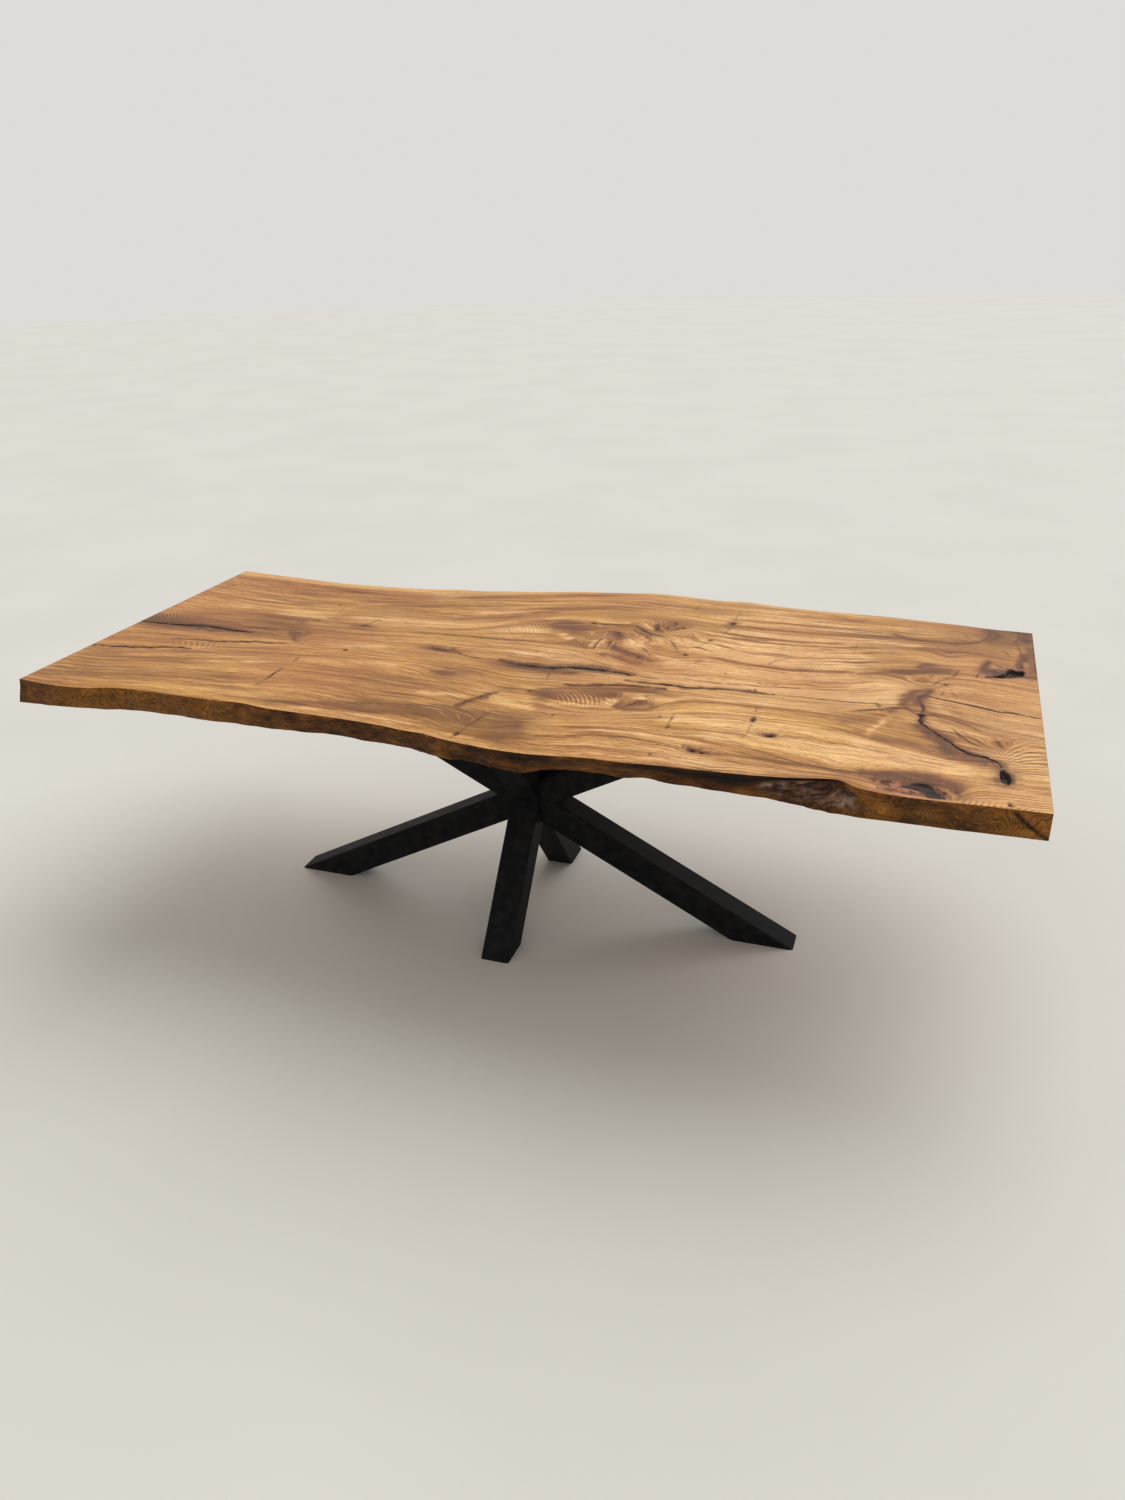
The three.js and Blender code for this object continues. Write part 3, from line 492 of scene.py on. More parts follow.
# Bark pockets and the loose knot in the top face: depth and outline
POCKETS = (
    (5, ((903, -522), (928, -510), (1008, -510), (1040, -534), (1054, -554), (1040, -564), (928, -562),
         (906, -542))),
    (6, ((950, -524), (985, -509), (1003, -508), (1015, -518), (1024, -534), (1040, -548), (1043, -560),
         (1020, -562), (1004, -556), (1000, -540), (985, -533))),
    (10, ((1110, 124), (1128, 133), (1150, 149), (1160, 164), (1168, 196), (1176, 192), (1184, 180),
          (1199, 190), (1203, 174), (1198, 150), (1180, 139), (1160, 130), (1135, 124))),
    (10, ((1142, -406), (1148, -402), (1158, -425), (1161, -445), (1155, -469), (1146, -458), (1140, -430))),
)

# Cross ripples in the figure: x, y, half width, half depth, turn of the ripples, spacing, strength,
# and the distance to the point that they fan out from (nought: they run side by side)
RIPPLES = (
    (-1160, 8, 120, 40, -62, 10, 0.9, 0), (-940, -182, 110, 22, -62, 16, 0.8, 0),
    (205, -276, 62, 38, -64, 11, 1.3, 0), (-100, 190, 60, 60, -60, 11, 0.7, 0),
    (95, 90, 50, 34, -70, 10, 0.5, 0), (1192, -360, 50, 84, 27, 13, 1.6, 90),
    (730, 100, 60, 36, 80, 10, 0.7, 0), (760, -390, 100, 44, 58, 10, 0.6, 0),
    (90, 520, 60, 30, 70, 12, 0.6, 0), (-1040, -540, 46, 20, 84, 8, 1.0, 0),
    (-930, -515, 40, 20, 80, 9, 0.6, 0), (1105, -572, 60, 20, 80, 11, 1.0, 0),
    (1180, -572, 40, 20, 60, 10, 0.9, 0), (940, -574, 60, 20, 84, 9, 0.5, 0),
    (560, 560, 60, 20, 80, 12, 0.3, 0),
)

# Areas where the figure is so fine that the mesh is cut finer: x, y, half width, half depth
DETAILS = (
    (180, 165, 260, 170), (1030, -120, 130, 220), (1160, 250, 120, 280), (240, -250, 200, 90),
    (650, 280, 270, 200), (520, -430, 430, 130), (-170, 280, 240, 100), (-1060, 0, 180, 60),
)

# The straight-grained area behind the fork, where the bands run even: x, y, half width, half depth, turn
EVEN_AREA = (640, 290, 260, 200, 0)

# The burl, where the grain curls: x, y, half width, half depth, turn in degrees
BURL = (190, 165, 190, 120, 0)

# The dark crack that runs down the front edge at its right end: x, and the depth below the top
EDGE_CRACK = ((1168, 8), (1180, 20), (1200, 36), (1232, 58))

# The streak of orange wood at the back edge: x, y, half width, half depth, turn in degrees
EMBER = (-10, 520, 60, 12, 17)

# Golden spots in the front edge, with y as a share of the depth: x, y, half width, half depth, turn
GLOW_LEFT = (930, 0.6, 26, 0.3, 0)
GLOW_RIGHT = (1010, 0.5, 30, 0.3, 0)

# The centre of the rings that the front edge cuts through at its right end: x and height
EDGE_RINGS = (960, 680)

# The panel's mesh: its mean width, its layers and how they crowd towards the two faces, the margin
# round a recess or a seam that is cut finer, the material slots, and the angle of a sharp edge
MEAN_WIDTH = 1050
LAYERS = 14
CROWDING = 0.11
MARGIN = 9
FACE, EDGE, END = range(3)
CREASE = math.radians(42)

# How far below the top the colours of recesses reach. A pocket deeper than the shelf is black inside
RECESS_BAND = 16
SHELF_DEPTH = 5

# Where the distance to a crack or a pocket, and the distance to a seam, stop counting
FAR = 6.0
SEAM_REACH = 16.0

# How strongly the tables of tones and strokes act on the wood, and the limits of their sum
TONE_GAIN = 1.15
STROKE_GAIN = 1.6
TONE_LIMITS = (-1.3, 1.2)

# Colours of the wood and the bark from dark to pale, and the gaps between growth rings in millimetres
ELM_STOPS = ((0.34, "#82522a"), (0.45, "#a7733e"), (0.54, "#c08a4a"), (0.66, "#e0ac64"))
BARK_STOPS = ((0.36, "#2e1b12"), (0.47, "#5f4535"), (0.6, "#856b5a"), (0.74, "#b39f8e"))
END_STOPS = ((0.35, "#4b2d17"), (0.5, "#74492a"), (0.65, "#9c6d41"))
LIVE_EDGE_STOPS = (
    (0.34, "#170a03"), (0.44, "#3b1f0a"), (0.54, "#5d3612"), (0.64, "#85541f"), (0.76, "#ad7730"),
)
FACE_RING_GAP = 34
END_RING_GAP = 7

# What the materials give these kinds of node, unless a call says otherwise
USUAL_SETTINGS = {"Mix": {"data_type": "RGBA"}, "MapRange": {"interpolation_type": "SMOOTHSTEP"}}

# The studio: the light, the floor in metres, and the camera as it was solved from the photo
KEY_DIRECTION = (0.3, 0.55, 1.0)
KEY_SPREAD = math.radians(60)
FLOOR_RADIUS = 30.0
CAMERA_PLACE = Vector((0.978, -2.585, 1.768))
CAMERA_YAW = math.radians(19.583)
CAMERA_PITCH = math.radians(25.084)
CAMERA_ROLL = math.radians(1.564)
FOCAL_PIXELS = 1107
PHOTO_HEIGHT = 1500
SENSOR = 36.0


def edge_at(points, x):
    """Reads a smooth line through the points at the places x."""
    px, py = np.array(points, float).T
    slope = np.empty(len(px))
    slope[1:-1] = (py[2:] - py[:-2]) / (px[2:] - px[:-2])
    slope[0] = (py[1] - py[0]) / (px[1] - px[0])
    slope[-1] = (py[-1] - py[-2]) / (px[-1] - px[-2])
    i = np.clip(np.searchsorted(px, x, "left") - 1, 0, len(px) - 2)
    run = px[i + 1] - px[i]
    rise = py[i + 1] - py[i]
    s = np.clip((x - px[i]) / run, 0, 1)
    bend0 = slope[i] * run - rise
    bend1 = slope[i + 1] * run - rise
    return py[i] + rise * s + s * (1 - s) * ((1 - s) * bend0 - s * bend1)


def smoothstep(x, low, high):
    """Rises smoothly from 0 to 1 between low and high."""
    s = np.clip((x - low) / (high - low), 0, 1)
    return s * s * (3 - 2 * s)


def hill(x, a, b, c, d):
    """Rises from a to b and falls from c to d."""
    return smoothstep(x, a, b) * (1 - smoothstep(x, c, d))


def bell(distance, half):
    """1 on a line, fading to about a third at half a width beside it."""
    return np.exp(-(distance / half) ** 2)


def lumps(x, down, phase):
    """Lumps of a few millimetres along a live edge, different at each depth."""
    return (1.9 * np.sin(x / 41 + 2.6 * down + phase)
            + 1.4 * np.sin(x / 23 - 4.1 * down + 2 * phase)
            + 1.1 * np.sin(x / 13 + 5.3 * down - phase))


def front_at(x, down):
    """The front face: a bellied edge, undercut in the middle, with a bark hollow under the arris."""
    top = edge_at(FRONT_TOP_EDGE, x)
    low = edge_at(FRONT_LOW_EDGE, x)
    belly = 6 * hill(x, -1300, -1000, 300, 480) + 2 * hill(x, 840, 880, 1300, 1400)
    hollow = 9 * hill(x, 330, 480, 560, 640) + 17 * hill(x, 600, 720, 800, 850)
    fade = 0.35 + 0.65 * hill(x, -1230, -1120, 840, 900)
    turn = smoothstep(down, 0.02, 1)
    return (top + (low - top) * turn
            - belly * np.sin(np.pi * down)
            + hollow * np.sin(np.pi * np.minimum(1, down * 1.35))
            + lumps(x, down, 0.4) * np.minimum(1, 3 * down) * fade)


def back_at(x, down):
    """The back face: its widest line runs just under the top, and it pulls in towards the underside."""
    widest = edge_at(BACK_EDGE, x)
    bevel = 9 * (1 - smoothstep(down, 0, 0.3))
    tuck = (16 + 7 * np.sin(x / 210 + 0.8)) * smoothstep(down, 0.3, 1)
    return widest - bevel - tuck + lumps(x, down, 2.1) * np.minimum(1, 3 * down) * 0.8


def turned(x, y, cx, cy, degrees):
    """Places measured from a centre, on axes turned by so many degrees."""
    c, s = math.cos(math.radians(degrees)), math.sin(math.radians(degrees))
    return (x - cx) * c + (y - cy) * s, (y - cy) * c - (x - cx) * s


def blob(x, y, spot):
    """A soft oval spot: 1 in its middle, fading past its half width and half depth."""
    cx, cy, rx, ry, turn = spot[:5]
    u, v = turned(x, y, cx, cy, turn)
    return np.exp(-((u / rx) ** 2 + (v / ry) ** 2) * 0.9)


def line_distance(x, y, line):
    """The distance to a bent line, how far along it the nearest point is (0 to 1), and its side (1 or -1)."""
    points = np.array(line, float)
    lengths = np.hypot(*(points[1:] - points[:-1]).T)
    starts = np.concatenate(([0], np.cumsum(lengths)))
    best = np.full(x.shape, 1e9)
    along = np.zeros(x.shape)
    side = np.ones(x.shape)
    for (ax, ay), (bx, by), start, length in zip(points[:-1], points[1:], starts, lengths):
        s = np.clip(((x - ax) * (bx - ax) + (y - ay) * (by - ay)) / length ** 2, 0, 1)
        d = np.hypot(x - ax - s * (bx - ax), y - ay - s * (by - ay))
        nearer = d < best
        best = np.where(nearer, d, best)
        along = np.where(nearer, (start + s * length) / starts[-1], along)
        left = (bx - ax) * (y - ay) - (by - ay) * (x - ax) >= 0
        side = np.where(nearer, np.where(left, 1.0, -1.0), side)
    return best, along, side


def wander(x, y, size, seed):
    """Smooth noise between -1 and 1, from four sine waves that run different ways."""
    total = np.zeros(x.shape)
    for k in range(4):
        turn = seed * 1.7 + k * 2.1
        scale = size / (1 + 0.55 * k)
        total += np.sin((x * math.cos(turn) + y * math.sin(turn)) / scale + seed + 3 * k)
    return total / 4


def crack_field(x, y):
    """The distance to the nearest crack in half widths, signed and plain, how dark it is, and its depth."""
    nearest = np.full(x.shape, FAR)
    signed = np.full(x.shape, FAR)
    dark = np.zeros(x.shape)
    depth = np.zeros(x.shape)
    for width, deep, _, line in CRACKS:
        distance, along, side = line_distance(x, y, line)
        half = 0.6 + width / 2 * np.sin(np.pi * (0.06 + 0.88 * along)) ** 0.8
        half = half * (0.9 + 0.4 * wander(x, y, 26, width) + 0.15 * wander(x, y, 8, width))
        level = np.minimum(distance / half, FAR)
        signed = np.where(level < nearest, level * side, signed)
        dark = np.where(level < nearest, min(1, deep / 3), dark)
        nearest = np.minimum(nearest, level)
        depth = np.maximum(depth, deep * (1 - smoothstep(level, 0.35, 1.25)))
    return signed, nearest, dark, depth


def seam_field(x, y):
    """The distance to the nearest seam in tenths of its width, signed and plain, and its strength."""
    nearest = np.full(x.shape, SEAM_REACH)
    signed = np.full(x.shape, SEAM_REACH)
    strength = np.zeros(x.shape)
    for width, strong, line in SEAMS:
        distance, along, side = line_distance(x, y, line)
        distance = np.minimum(distance * 10 / width, SEAM_REACH)
        closer = distance < nearest
        fade = np.sin(np.pi * (0.04 + 0.92 * along)) ** 0.6
        signed = np.where(closer, distance * side, signed)
        strength = np.where(closer, np.minimum(1, 1.3 * strong) * fade, strength)
        nearest = np.minimum(nearest, distance)
    return signed, nearest, strength


def outline_depth(x, y, outline):
    """How far inside an outline each point lies; outside it is negative."""
    closed = tuple(outline) + (outline[0],)
    distance = line_distance(x, y, closed)[0]
    inside = np.zeros(x.shape, bool)
    for (ax, ay), (bx, by) in zip(closed[:-1], closed[1:]):
        crosses = (ay > y) != (by > y)
        slant = ax + (y - ay) * (bx - ax) / ((by - ay) or 1e-9)
        inside ^= crosses & (x < slant)
    return np.where(inside, distance, -distance)


def pocket_field(x, y):
    """How far inside the nearest deep pocket each place lies, in millimetres, and the depth cut there."""
    inside = np.full(x.shape, -FAR)
    depth = np.zeros(x.shape)
    for deep, outline in POCKETS:
        here = outline_depth(x, y, outline) + 1.5 + 1.6 * wander(x, y, 7, deep)
        depth = np.maximum(depth, deep * smoothstep(here, -0.5, 7))
        if deep > SHELF_DEPTH:
            inside = np.maximum(inside, np.clip(here, -FAR, FAR))
    return inside, depth


def mark_field(x, y):
    """How strongly each place belongs to a small knot, and the depth cut there."""
    strength = np.zeros(x.shape)
    depth = np.zeros(x.shape)
    for *oval, deep in MARKS:
        spot = blob(x, y, oval)
        strength = np.maximum(strength, spot * min(1, 0.34 + 0.12 * deep))
        depth = np.maximum(depth, deep * smoothstep(spot, 0.5, 0.85))
    return strength, depth


def grain_at(x, y, z):
    """The growth coordinate: equal along a line of grain, and rising by the ring widths across it."""
    lines = [edge_at(BACK_EDGE, x)]
    lines += [edge_at(points, x) for points in GRAIN_LINES]
    lines += [edge_at(FRONT_TOP_EDGE, x) - 6]
    for k in range(1, len(lines)):
        lines[k] = np.minimum(lines[k], lines[k - 1] - 10)
    grain = np.maximum(y - lines[0], 0) - np.maximum(lines[-1] - y, 0)
    for upper, lower in zip(lines[:-1], lines[1:]):
        grain = grain - LINE_STEP * np.clip((upper - y) / (upper - lower), 0, 1)
    for *oval, push in SWIRLS:
        grain = grain + push * blob(x, y, (*oval, 0))
    grain = grain + 5 * wander(x, y, 60, 1.0) + 2.5 * wander(x, y, 26, 5.0)
    grain = grain + 12 * wander(x, y, 20, 3.0) * blob(x, y, BURL)
    return grain + 0.35 * (TOP - z)


def ring_at(x, y, z):
    """The distance from the pith, for the rings of the sawn ends."""
    from_pith = y - edge_at(GRAIN_LINES[PITH_LINE], x)
    return np.hypot(from_pith, (z - TOP + PITH_DEPTH) * 1.6) + 2.5 * wander(y, z, 22, 2.0)


def tone_and_light_at(x, y):
    """How much lighter (plus) or darker (minus) the wood is than its mean; the rise at the right end is
    partly painted light.
    """
    uneven = 1 - 0.8 * blob(x, y, EVEN_AREA)
    x = x + 14 * wander(x, y, 34, 6.0) * uneven
    y = y + 4 * wander(x, y, 24, 8.0) * uneven
    # painted light, in part: the wood grows lighter towards the right end, partly its own colour and partly
    # the brighter light there
    tone_and_light = 0.36 * smoothstep(x, -100, 500) - 0.06 + 0.16 * wander(x, y * 2.5, 110, 4.0)
    for *oval, change in TONES:
        tone_and_light += TONE_GAIN * change * blob(x, y, oval)
    for half, change, line in STROKES:
        distance, along, _ = line_distance(x, y, line)
        fade = np.minimum(1, 3.2 * np.sin(np.pi * (0.03 + 0.94 * along)))
        tone_and_light += STROKE_GAIN * change * fade * bell(distance, half)
    return np.clip(tone_and_light, *TONE_LIMITS)


def stain_at(x, y):
    """How strongly the purple-brown stain has spread into the wood, from its spots, bands and cracks."""
    x = x + 12 * wander(x, y, 24, 3.0)
    y = y + 6 * wander(x, y, 18, 9.0)
    stain = np.zeros(x.shape)
    for *oval, strong in STAINS:
        stain = np.maximum(stain, strong * blob(x, y, oval))
    for half, strong, line in STAIN_LINES:
        stain = np.maximum(stain, strong * bell(line_distance(x, y, line)[0], half))
    for _, _, reach, line in CRACKS:
        distance, along, _ = line_distance(x, y, line)
        spread = reach * (0.4 + 0.6 * np.sin(np.pi * along))
        stain = np.maximum(stain, 0.8 * bell(distance, np.maximum(spread, 1)))
    return np.clip(stain, 0, 1)


def ripples_at(x, y):
    """The phase and the strength of the ripples that cross the grain."""
    phase = np.zeros(x.shape)
    strength = np.zeros(x.shape)
    for cx, cy, rx, ry, turn, spacing, strong, fan in RIPPLES:
        here = strong * blob(x, y, (cx, cy, rx, ry, 0))
        beside, across = turned(x, y, cx, cy, turn)
        spread = np.maximum(0.2, 1 + beside / fan) if fan else 1
        waves = (across / spread + beside ** 2 / 300) / spacing
        phase = np.where(here > strength, waves, phase)
        strength = np.maximum(strength, here)
    return phase, strength


def sapwood_at(x, y):
    """Pale sapwood: a band along the back edge, and a narrow rim along the front."""
    inset = edge_at(BACK_EDGE, x) - y
    band = 46 * hill(x, -1400, -1300, -300, 100) + 22 * hill(x, 60, 160, 600, 900) + 6
    back = 0.75 * (1 - smoothstep(inset, band * 0.75, band * 1.05)) * (1 - 0.8 * smoothstep(x, 800, 1100))
    rim = y - edge_at(FRONT_TOP_EDGE, x)
    front = 0.45 * (1 - smoothstep(rim, 8, 22)) * hill(x, -700, -400, 200, 420)
    return np.maximum(back, front)


def hollow_shade_and_edge_crack_at(x, down):
    """Painted shade: black in the hollow under the front arris; and the dark crack down the edge at the right
    end.
    """
    reach = 2.2 - 0.9 * hill(x, 420, 520, 640, 720) + 2.4 * smoothstep(x, 700, 800)
    hollow = 0.95 * hill(x, 330, 450, 800, 862) + 0.5 * hill(x, -20, 60, 200, 330)
    hollow = hollow * np.sin(np.pi * np.clip(0.12 + down * reach, 0, 1)) ** 0.6
    return np.maximum(hollow, bell(line_distance(x, down * THICKNESS, EDGE_CRACK)[0], 4.5))


def glow_at(x, down):
    """The golden stretches of the front edge: at both ends, and two spots beside the bark rest."""
    return (0.42 * hill(x, 1060, 1160, 1400, 1500) + 0.34 * hill(x, -1200, -1100, -700, -480)
            + 0.4 * blob(x, down, GLOW_LEFT) + 0.5 * blob(x, down, GLOW_RIGHT))


def coordinates(bm):
    """The places of a bmesh's points: their x, their y and their z."""
    return np.array([v.co for v in bm.verts], float).T


def is_top(z):
    """On the top face, to a hundredth of a millimetre."""
    return z > TOP - 0.01


def is_side(x, y, z):
    """On one of the live edges to 1.5 mm, and clear of the two sawn ends."""
    down = np.clip((TOP - z) / THICKNESS, 0, 1)
    near = np.minimum(np.abs(y - front_at(x, down)), np.abs(y - back_at(x, down)))
    return (near < 1.5) & (np.abs(x) < HALF_LENGTH - 0.9)


def is_front(x, y, z):
    """On the front live edge."""
    return is_side(x, y, z) & (y < 0)


def near_recess(x, y, z):
    """On the top face, in or close to a crack, a knot or a pocket."""
    close = np.zeros(x.shape, bool)
    for width, _, _, line in CRACKS:
        close |= line_distance(x, y, line)[0] < width / 2 + MARGIN
    for cx, cy, rx, ry, _, _ in MARKS:
        close |= np.hypot(x - cx, y - cy) < max(rx, ry) + MARGIN
    for _, outline in POCKETS:
        close |= outline_depth(x, y, outline) > -MARGIN
    return close & is_top(z)


def near_seam(x, y, z):
    """On the top face, close to a seam."""
    close = [line_distance(x, y, line)[0] < MARGIN for _, _, line in SEAMS]
    return np.logical_or.reduce(close) & is_top(z)


def in_detail(x, y, z):
    """On the top face, in one of the areas of fine figure."""
    close = [np.hypot((x - cx) / rx, (y - cy) / ry) < 1 for cx, cy, rx, ry in DETAILS]
    return np.logical_or.reduce(close) & is_top(z)


def subdivide_along(bm, axis, cuts):
    """Cuts every edge that runs along an axis."""
    edges = [e for e in bm.edges if abs(e.verts[0].co[axis] - e.verts[1].co[axis]) > 1e-6]
    bmesh.ops.subdivide_edges(bm, edges=edges, cuts=cuts, use_grid_fill=True)


def panel_block(settings):
    """A divided block, its sides drawn out to the live edges and its arrises eased."""
    bm = bmesh.new()
    bmesh.ops.create_cube(bm, size=1.0)
    for face in bm.faces:
        face.smooth = True
        face.material_index = END if abs(face.normal.x) > 0.5 else EDGE if abs(face.normal.y) > 0.5 else FACE
    columns = round(2 * HALF_LENGTH / (settings.cell / MM))
    rows = round(MEAN_WIDTH / (settings.cell / MM))
    for axis, cuts in enumerate((columns - 1, rows - 1, LAYERS - 1)):
        subdivide_along(bm, axis, cuts)
    u, v, w = coordinates(bm)
    column = np.round((u + 0.5) * columns)
    row = np.round((v + 0.5) * rows)
    layer = np.round((0.5 - w) * LAYERS)

    # the first row inside each border lies close to it, so that the easing stays narrow
    ease = settings.arris / MM
    x = (column / columns * 2 - 1) * HALF_LENGTH
    x = np.where(column == 1, -HALF_LENGTH + 2 * ease, x)
    x = np.where(column == columns - 1, HALF_LENGTH - 2 * ease, x)
    across = row / rows
    across = np.where(row == 1, 2 * ease / MEAN_WIDTH, across)
    across = np.where(row == rows - 1, 1 - 2 * ease / MEAN_WIDTH, across)
    share = layer / LAYERS
    down = share - CROWDING * np.sin(2 * np.pi * share)
    front = front_at(x, down)
    y = front + (back_at(x, down) - front) * across
    z = TOP - down * THICKNESS

    # the points on the arrises pull in
    end = (column == 0) | (column == columns)
    side = (row == 0) | (row == rows)
    lip = (layer == 0) | (layer == LAYERS)
    pull = ease * 0.5
    x -= np.sign(x) * pull * (end & (lip | side))
    y -= np.sign(y) * pull * (side & lip)
    z -= np.sign(0.5 - share) * pull * (lip & (end | side))
    for vert, place in zip(bm.verts, np.stack((x, y, z), 1)):
        vert.co = place * MM
    return bm


def refine(bm, test, cuts, longest=0.0):
    """Cuts the edges finer whose two ends pass the test, unless they are short already."""
    chosen = test(*(coordinates(bm) / MM))
    edges = [
        e for e in bm.edges
        if chosen[e.verts[0].index] and chosen[e.verts[1].index] and e.calc_length() > longest
    ]
    bmesh.ops.subdivide_edges(bm, edges=edges, cuts=cuts, use_grid_fill=True)
    bm.verts.index_update()


def roughen_sides(bm):
    """Pushes the live edges in and out by millimetres: burl lumps in the middle, bark knobs on the right."""
    x, y, z = coordinates(bm) / MM
    down = (TOP - z) / THICKNESS
    rough = 1.6 + 3.2 * hill(x, -130, -60, 150, 260) + 2.6 * hill(x, 640, 720, 820, 850)
    rough = rough * np.where(x > 870, 0.25, 1.0) * np.minimum(1, 6 * down) * is_side(x, y, z)
    for vert, vx, vy, vz, size in zip(bm.verts, x, y, z, rough):
        if size:
            spot = Vector((vx / 30, vy / 30, vz / 15))
            shove = noise.noise(spot) + 0.55 * noise.noise(spot * 2.2) + 0.3 * noise.noise(spot * 4.7)
            vert.co.y += size * shove * MM


def sink_recesses(bm):
    """Pushes the top face down into the cracks, the pockets and the small knots."""
    x, y, z = coordinates(bm) / MM
    depth = np.maximum.reduce((crack_field(x, y)[3], pocket_field(x, y)[1], mark_field(x, y)[1]))
    for vert, deep in zip(bm.verts, depth * is_top(z)):
        vert.co.z -= deep * MM


def keep_in_box(bm, node):
    """Holds every point inside the box of a CAD node."""
    low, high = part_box(node)
    for vert in bm.verts:
        for axis in range(3):
            vert.co[axis] = min(max(vert.co[axis], low[axis]), high[axis])


def mesh_object(name, bm, materials):
    """Turns a finished bmesh, in metres and in place, into an object at the origin."""
    mesh = bpy.data.meshes.new(name)
    bm.to_mesh(mesh)
    bm.free()
    for material in materials:
        mesh.materials.append(material)
    piece = bpy.data.objects.new(name, mesh)
    bpy.context.scene.collection.objects.link(piece)
    return piece


def paint_panel(mesh):
    """Stores what the wood shaders read: grain, rings, tones with some painted light, stain, ripples, seams,
    recesses, and painted shade under the front arris.
    """
    flat = np.empty(len(mesh.vertices) * 3)
    mesh.vertices.foreach_get("co", flat)
    x, y, z = flat.reshape(-1, 3).T / MM
    down = (TOP - z) / THICKNESS
    front = y < 0
    upper = 1 - smoothstep(down, 0.2, 0.5)
    by_top = z > TOP - RECESS_BAND
    crack, crack_near, crack_dark, _ = crack_field(x, y)
    seam, seam_near, seam_strength = seam_field(x, y)
    ripple, rippled = ripples_at(x, y)
    pocket = pocket_field(x, y)[0]
    ring_x, ring_z = EDGE_RINGS
    layers = {
        "grain": grain_at(x, y, z),
        "ring": ring_at(x, y, z),
        # partly painted light: the lighter right end of the top
        "tone_and_light": tone_and_light_at(x, y),
        "stain": stain_at(x, y) * upper,
        "ripple": ripple,
        "rippled": rippled,
        "crack": crack,
        "crack_near": np.where(by_top, crack_near, FAR),
        "crack_dark": crack_dark,
        "seam": seam,
        "seam_near": np.where(by_top, seam_near, SEAM_REACH),
        "seam_strength": seam_strength,
        "mark": mark_field(x, y)[0] * by_top,
        "pocket": np.where(by_top, pocket, -FAR),
        "sap": sapwood_at(x, y),
        "ember": 0.85 * blob(x, y, EMBER) * upper,
        # painted shade in the hollow under the front arris, with the dark crack down the edge
        "hollow": hollow_shade_and_edge_crack_at(x, down) * front,
        "bark": hill(x, 640, 720, 866, 884) * hill(down, 0.1, 0.25, 0.62, 0.9) * front,
        "glow": glow_at(x, down) * front,
        "contour": np.hypot((x - ring_x) * 0.5, z - ring_z) / 9 * smoothstep(x, 900, 1060),
        "shelf": (outline_depth(x, y, POCKETS[0][1]) > 0) & (pocket < 0) & by_top,
    }
    for name, values in layers.items():
        mesh.attributes.new(name, "FLOAT", "POINT").data.foreach_set("value", values.astype(np.float32))


def linear(hex_colour):
    """An sRGB hex colour as the linear RGBA that the shaders take."""
    parts = [int(hex_colour[i:i + 2], 16) / 255 for i in (1, 3, 5)]
    light = [p / 12.92 if p <= 0.04045 else ((p + 0.055) / 1.055) ** 2.4 for p in parts]
    return (*light, 1.0)


def add_node(tree, kind, *inputs, output=None, stops=(), **named):
    """Adds one node and returns its first output, or the one named. stops fills a colour ramp.

    The inputs are values, hex colours or links, in order or by name. A name with a capital is a socket's,
    with _ for a space, and the others are settings.
    """
    node = tree.nodes.new("ShaderNode" + kind)
    settings = {name: value for name, value in named.items() if name[0].islower()}
    for name, value in (USUAL_SETTINGS.get(kind, {}) | settings).items():
        setattr(node, name, value)
    filled = list(zip([socket for socket in node.inputs if socket.enabled], inputs))
    filled += [
        (node.inputs[name.replace("_", " ")], value)
        for name, value in named.items() if name not in settings
    ]
    for socket, value in filled:
        if isinstance(value, bpy.types.NodeSocket):
            tree.links.new(value, socket)
        else:
            socket.default_value = linear(value) if isinstance(value, str) else value
    for _ in stops[2:]:
        node.color_ramp.elements.new(0.5)
    for k, (place, colour) in enumerate(stops):
        node.color_ramp.elements[k].position = place
        node.color_ramp.elements[k].color = linear(colour)
    return next((s for s in node.outputs if s.enabled and output in (None, s.name)), None)


def new_material(name):
    """A material without nodes yet, and the function that adds one to it."""
    material = bpy.data.materials.new(name)
    material.use_nodes = True
    material.node_tree.nodes.clear()
    return material, partial(add_node, material.node_tree)


def finish(material, add, **sockets):
    """Adds the shader. A value that is the same all over goes on its own socket, the others are linked."""
    add("OutputMaterial", Surface=add("BsdfPrincipled", **sockets))
    return material


def painted(add, *names):
    """Reads layers that paint_panel stored on the mesh."""
    return [add("Attribute", output="Fac", attribute_name=name) for name in names]


def tint(add, under, over, value, start, full, strength=1.0, **settings):
    """Lays a colour over another: none of it where the value is at start, up to strength at full."""
    return add("Mix", add("MapRange", value, start, full, 0.0, strength, **settings), under, over)


def mottle(add, space, size, detail=3.0, rough=0.5):
    """Noise in patches of a size in millimetres, or of a length along the grain and a width."""
    sides = (size[0], size[1], 3 * size[1]) if isinstance(size, tuple) else (size, size, size)
    stretched = add("Mapping", Vector=space, Scale=[1 / (side * MM) for side in sides])
    return add("TexNoise", stretched, 1.0, detail, rough)


def grain_space(add, across):
    """Coordinates along the panel, across the rings and with height, then the rings, then plain places."""
    place = add("TexCoord", output="Object")
    rings = painted(add, across)[0]
    for size, sway in ((110, 12.0), (28, 2.5)):
        shift = add("Math", mottle(add, place, size), 0.5, operation="SUBTRACT")
        rings = add("Math", shift, sway, rings, operation="MULTIPLY_ADD")
    rings = add("Math", rings, MM, operation="MULTIPLY")
    along, height = (add("SeparateXYZ", place, output=axis) for axis in "XZ")
    return add("CombineXYZ", along, rings, height), rings, place


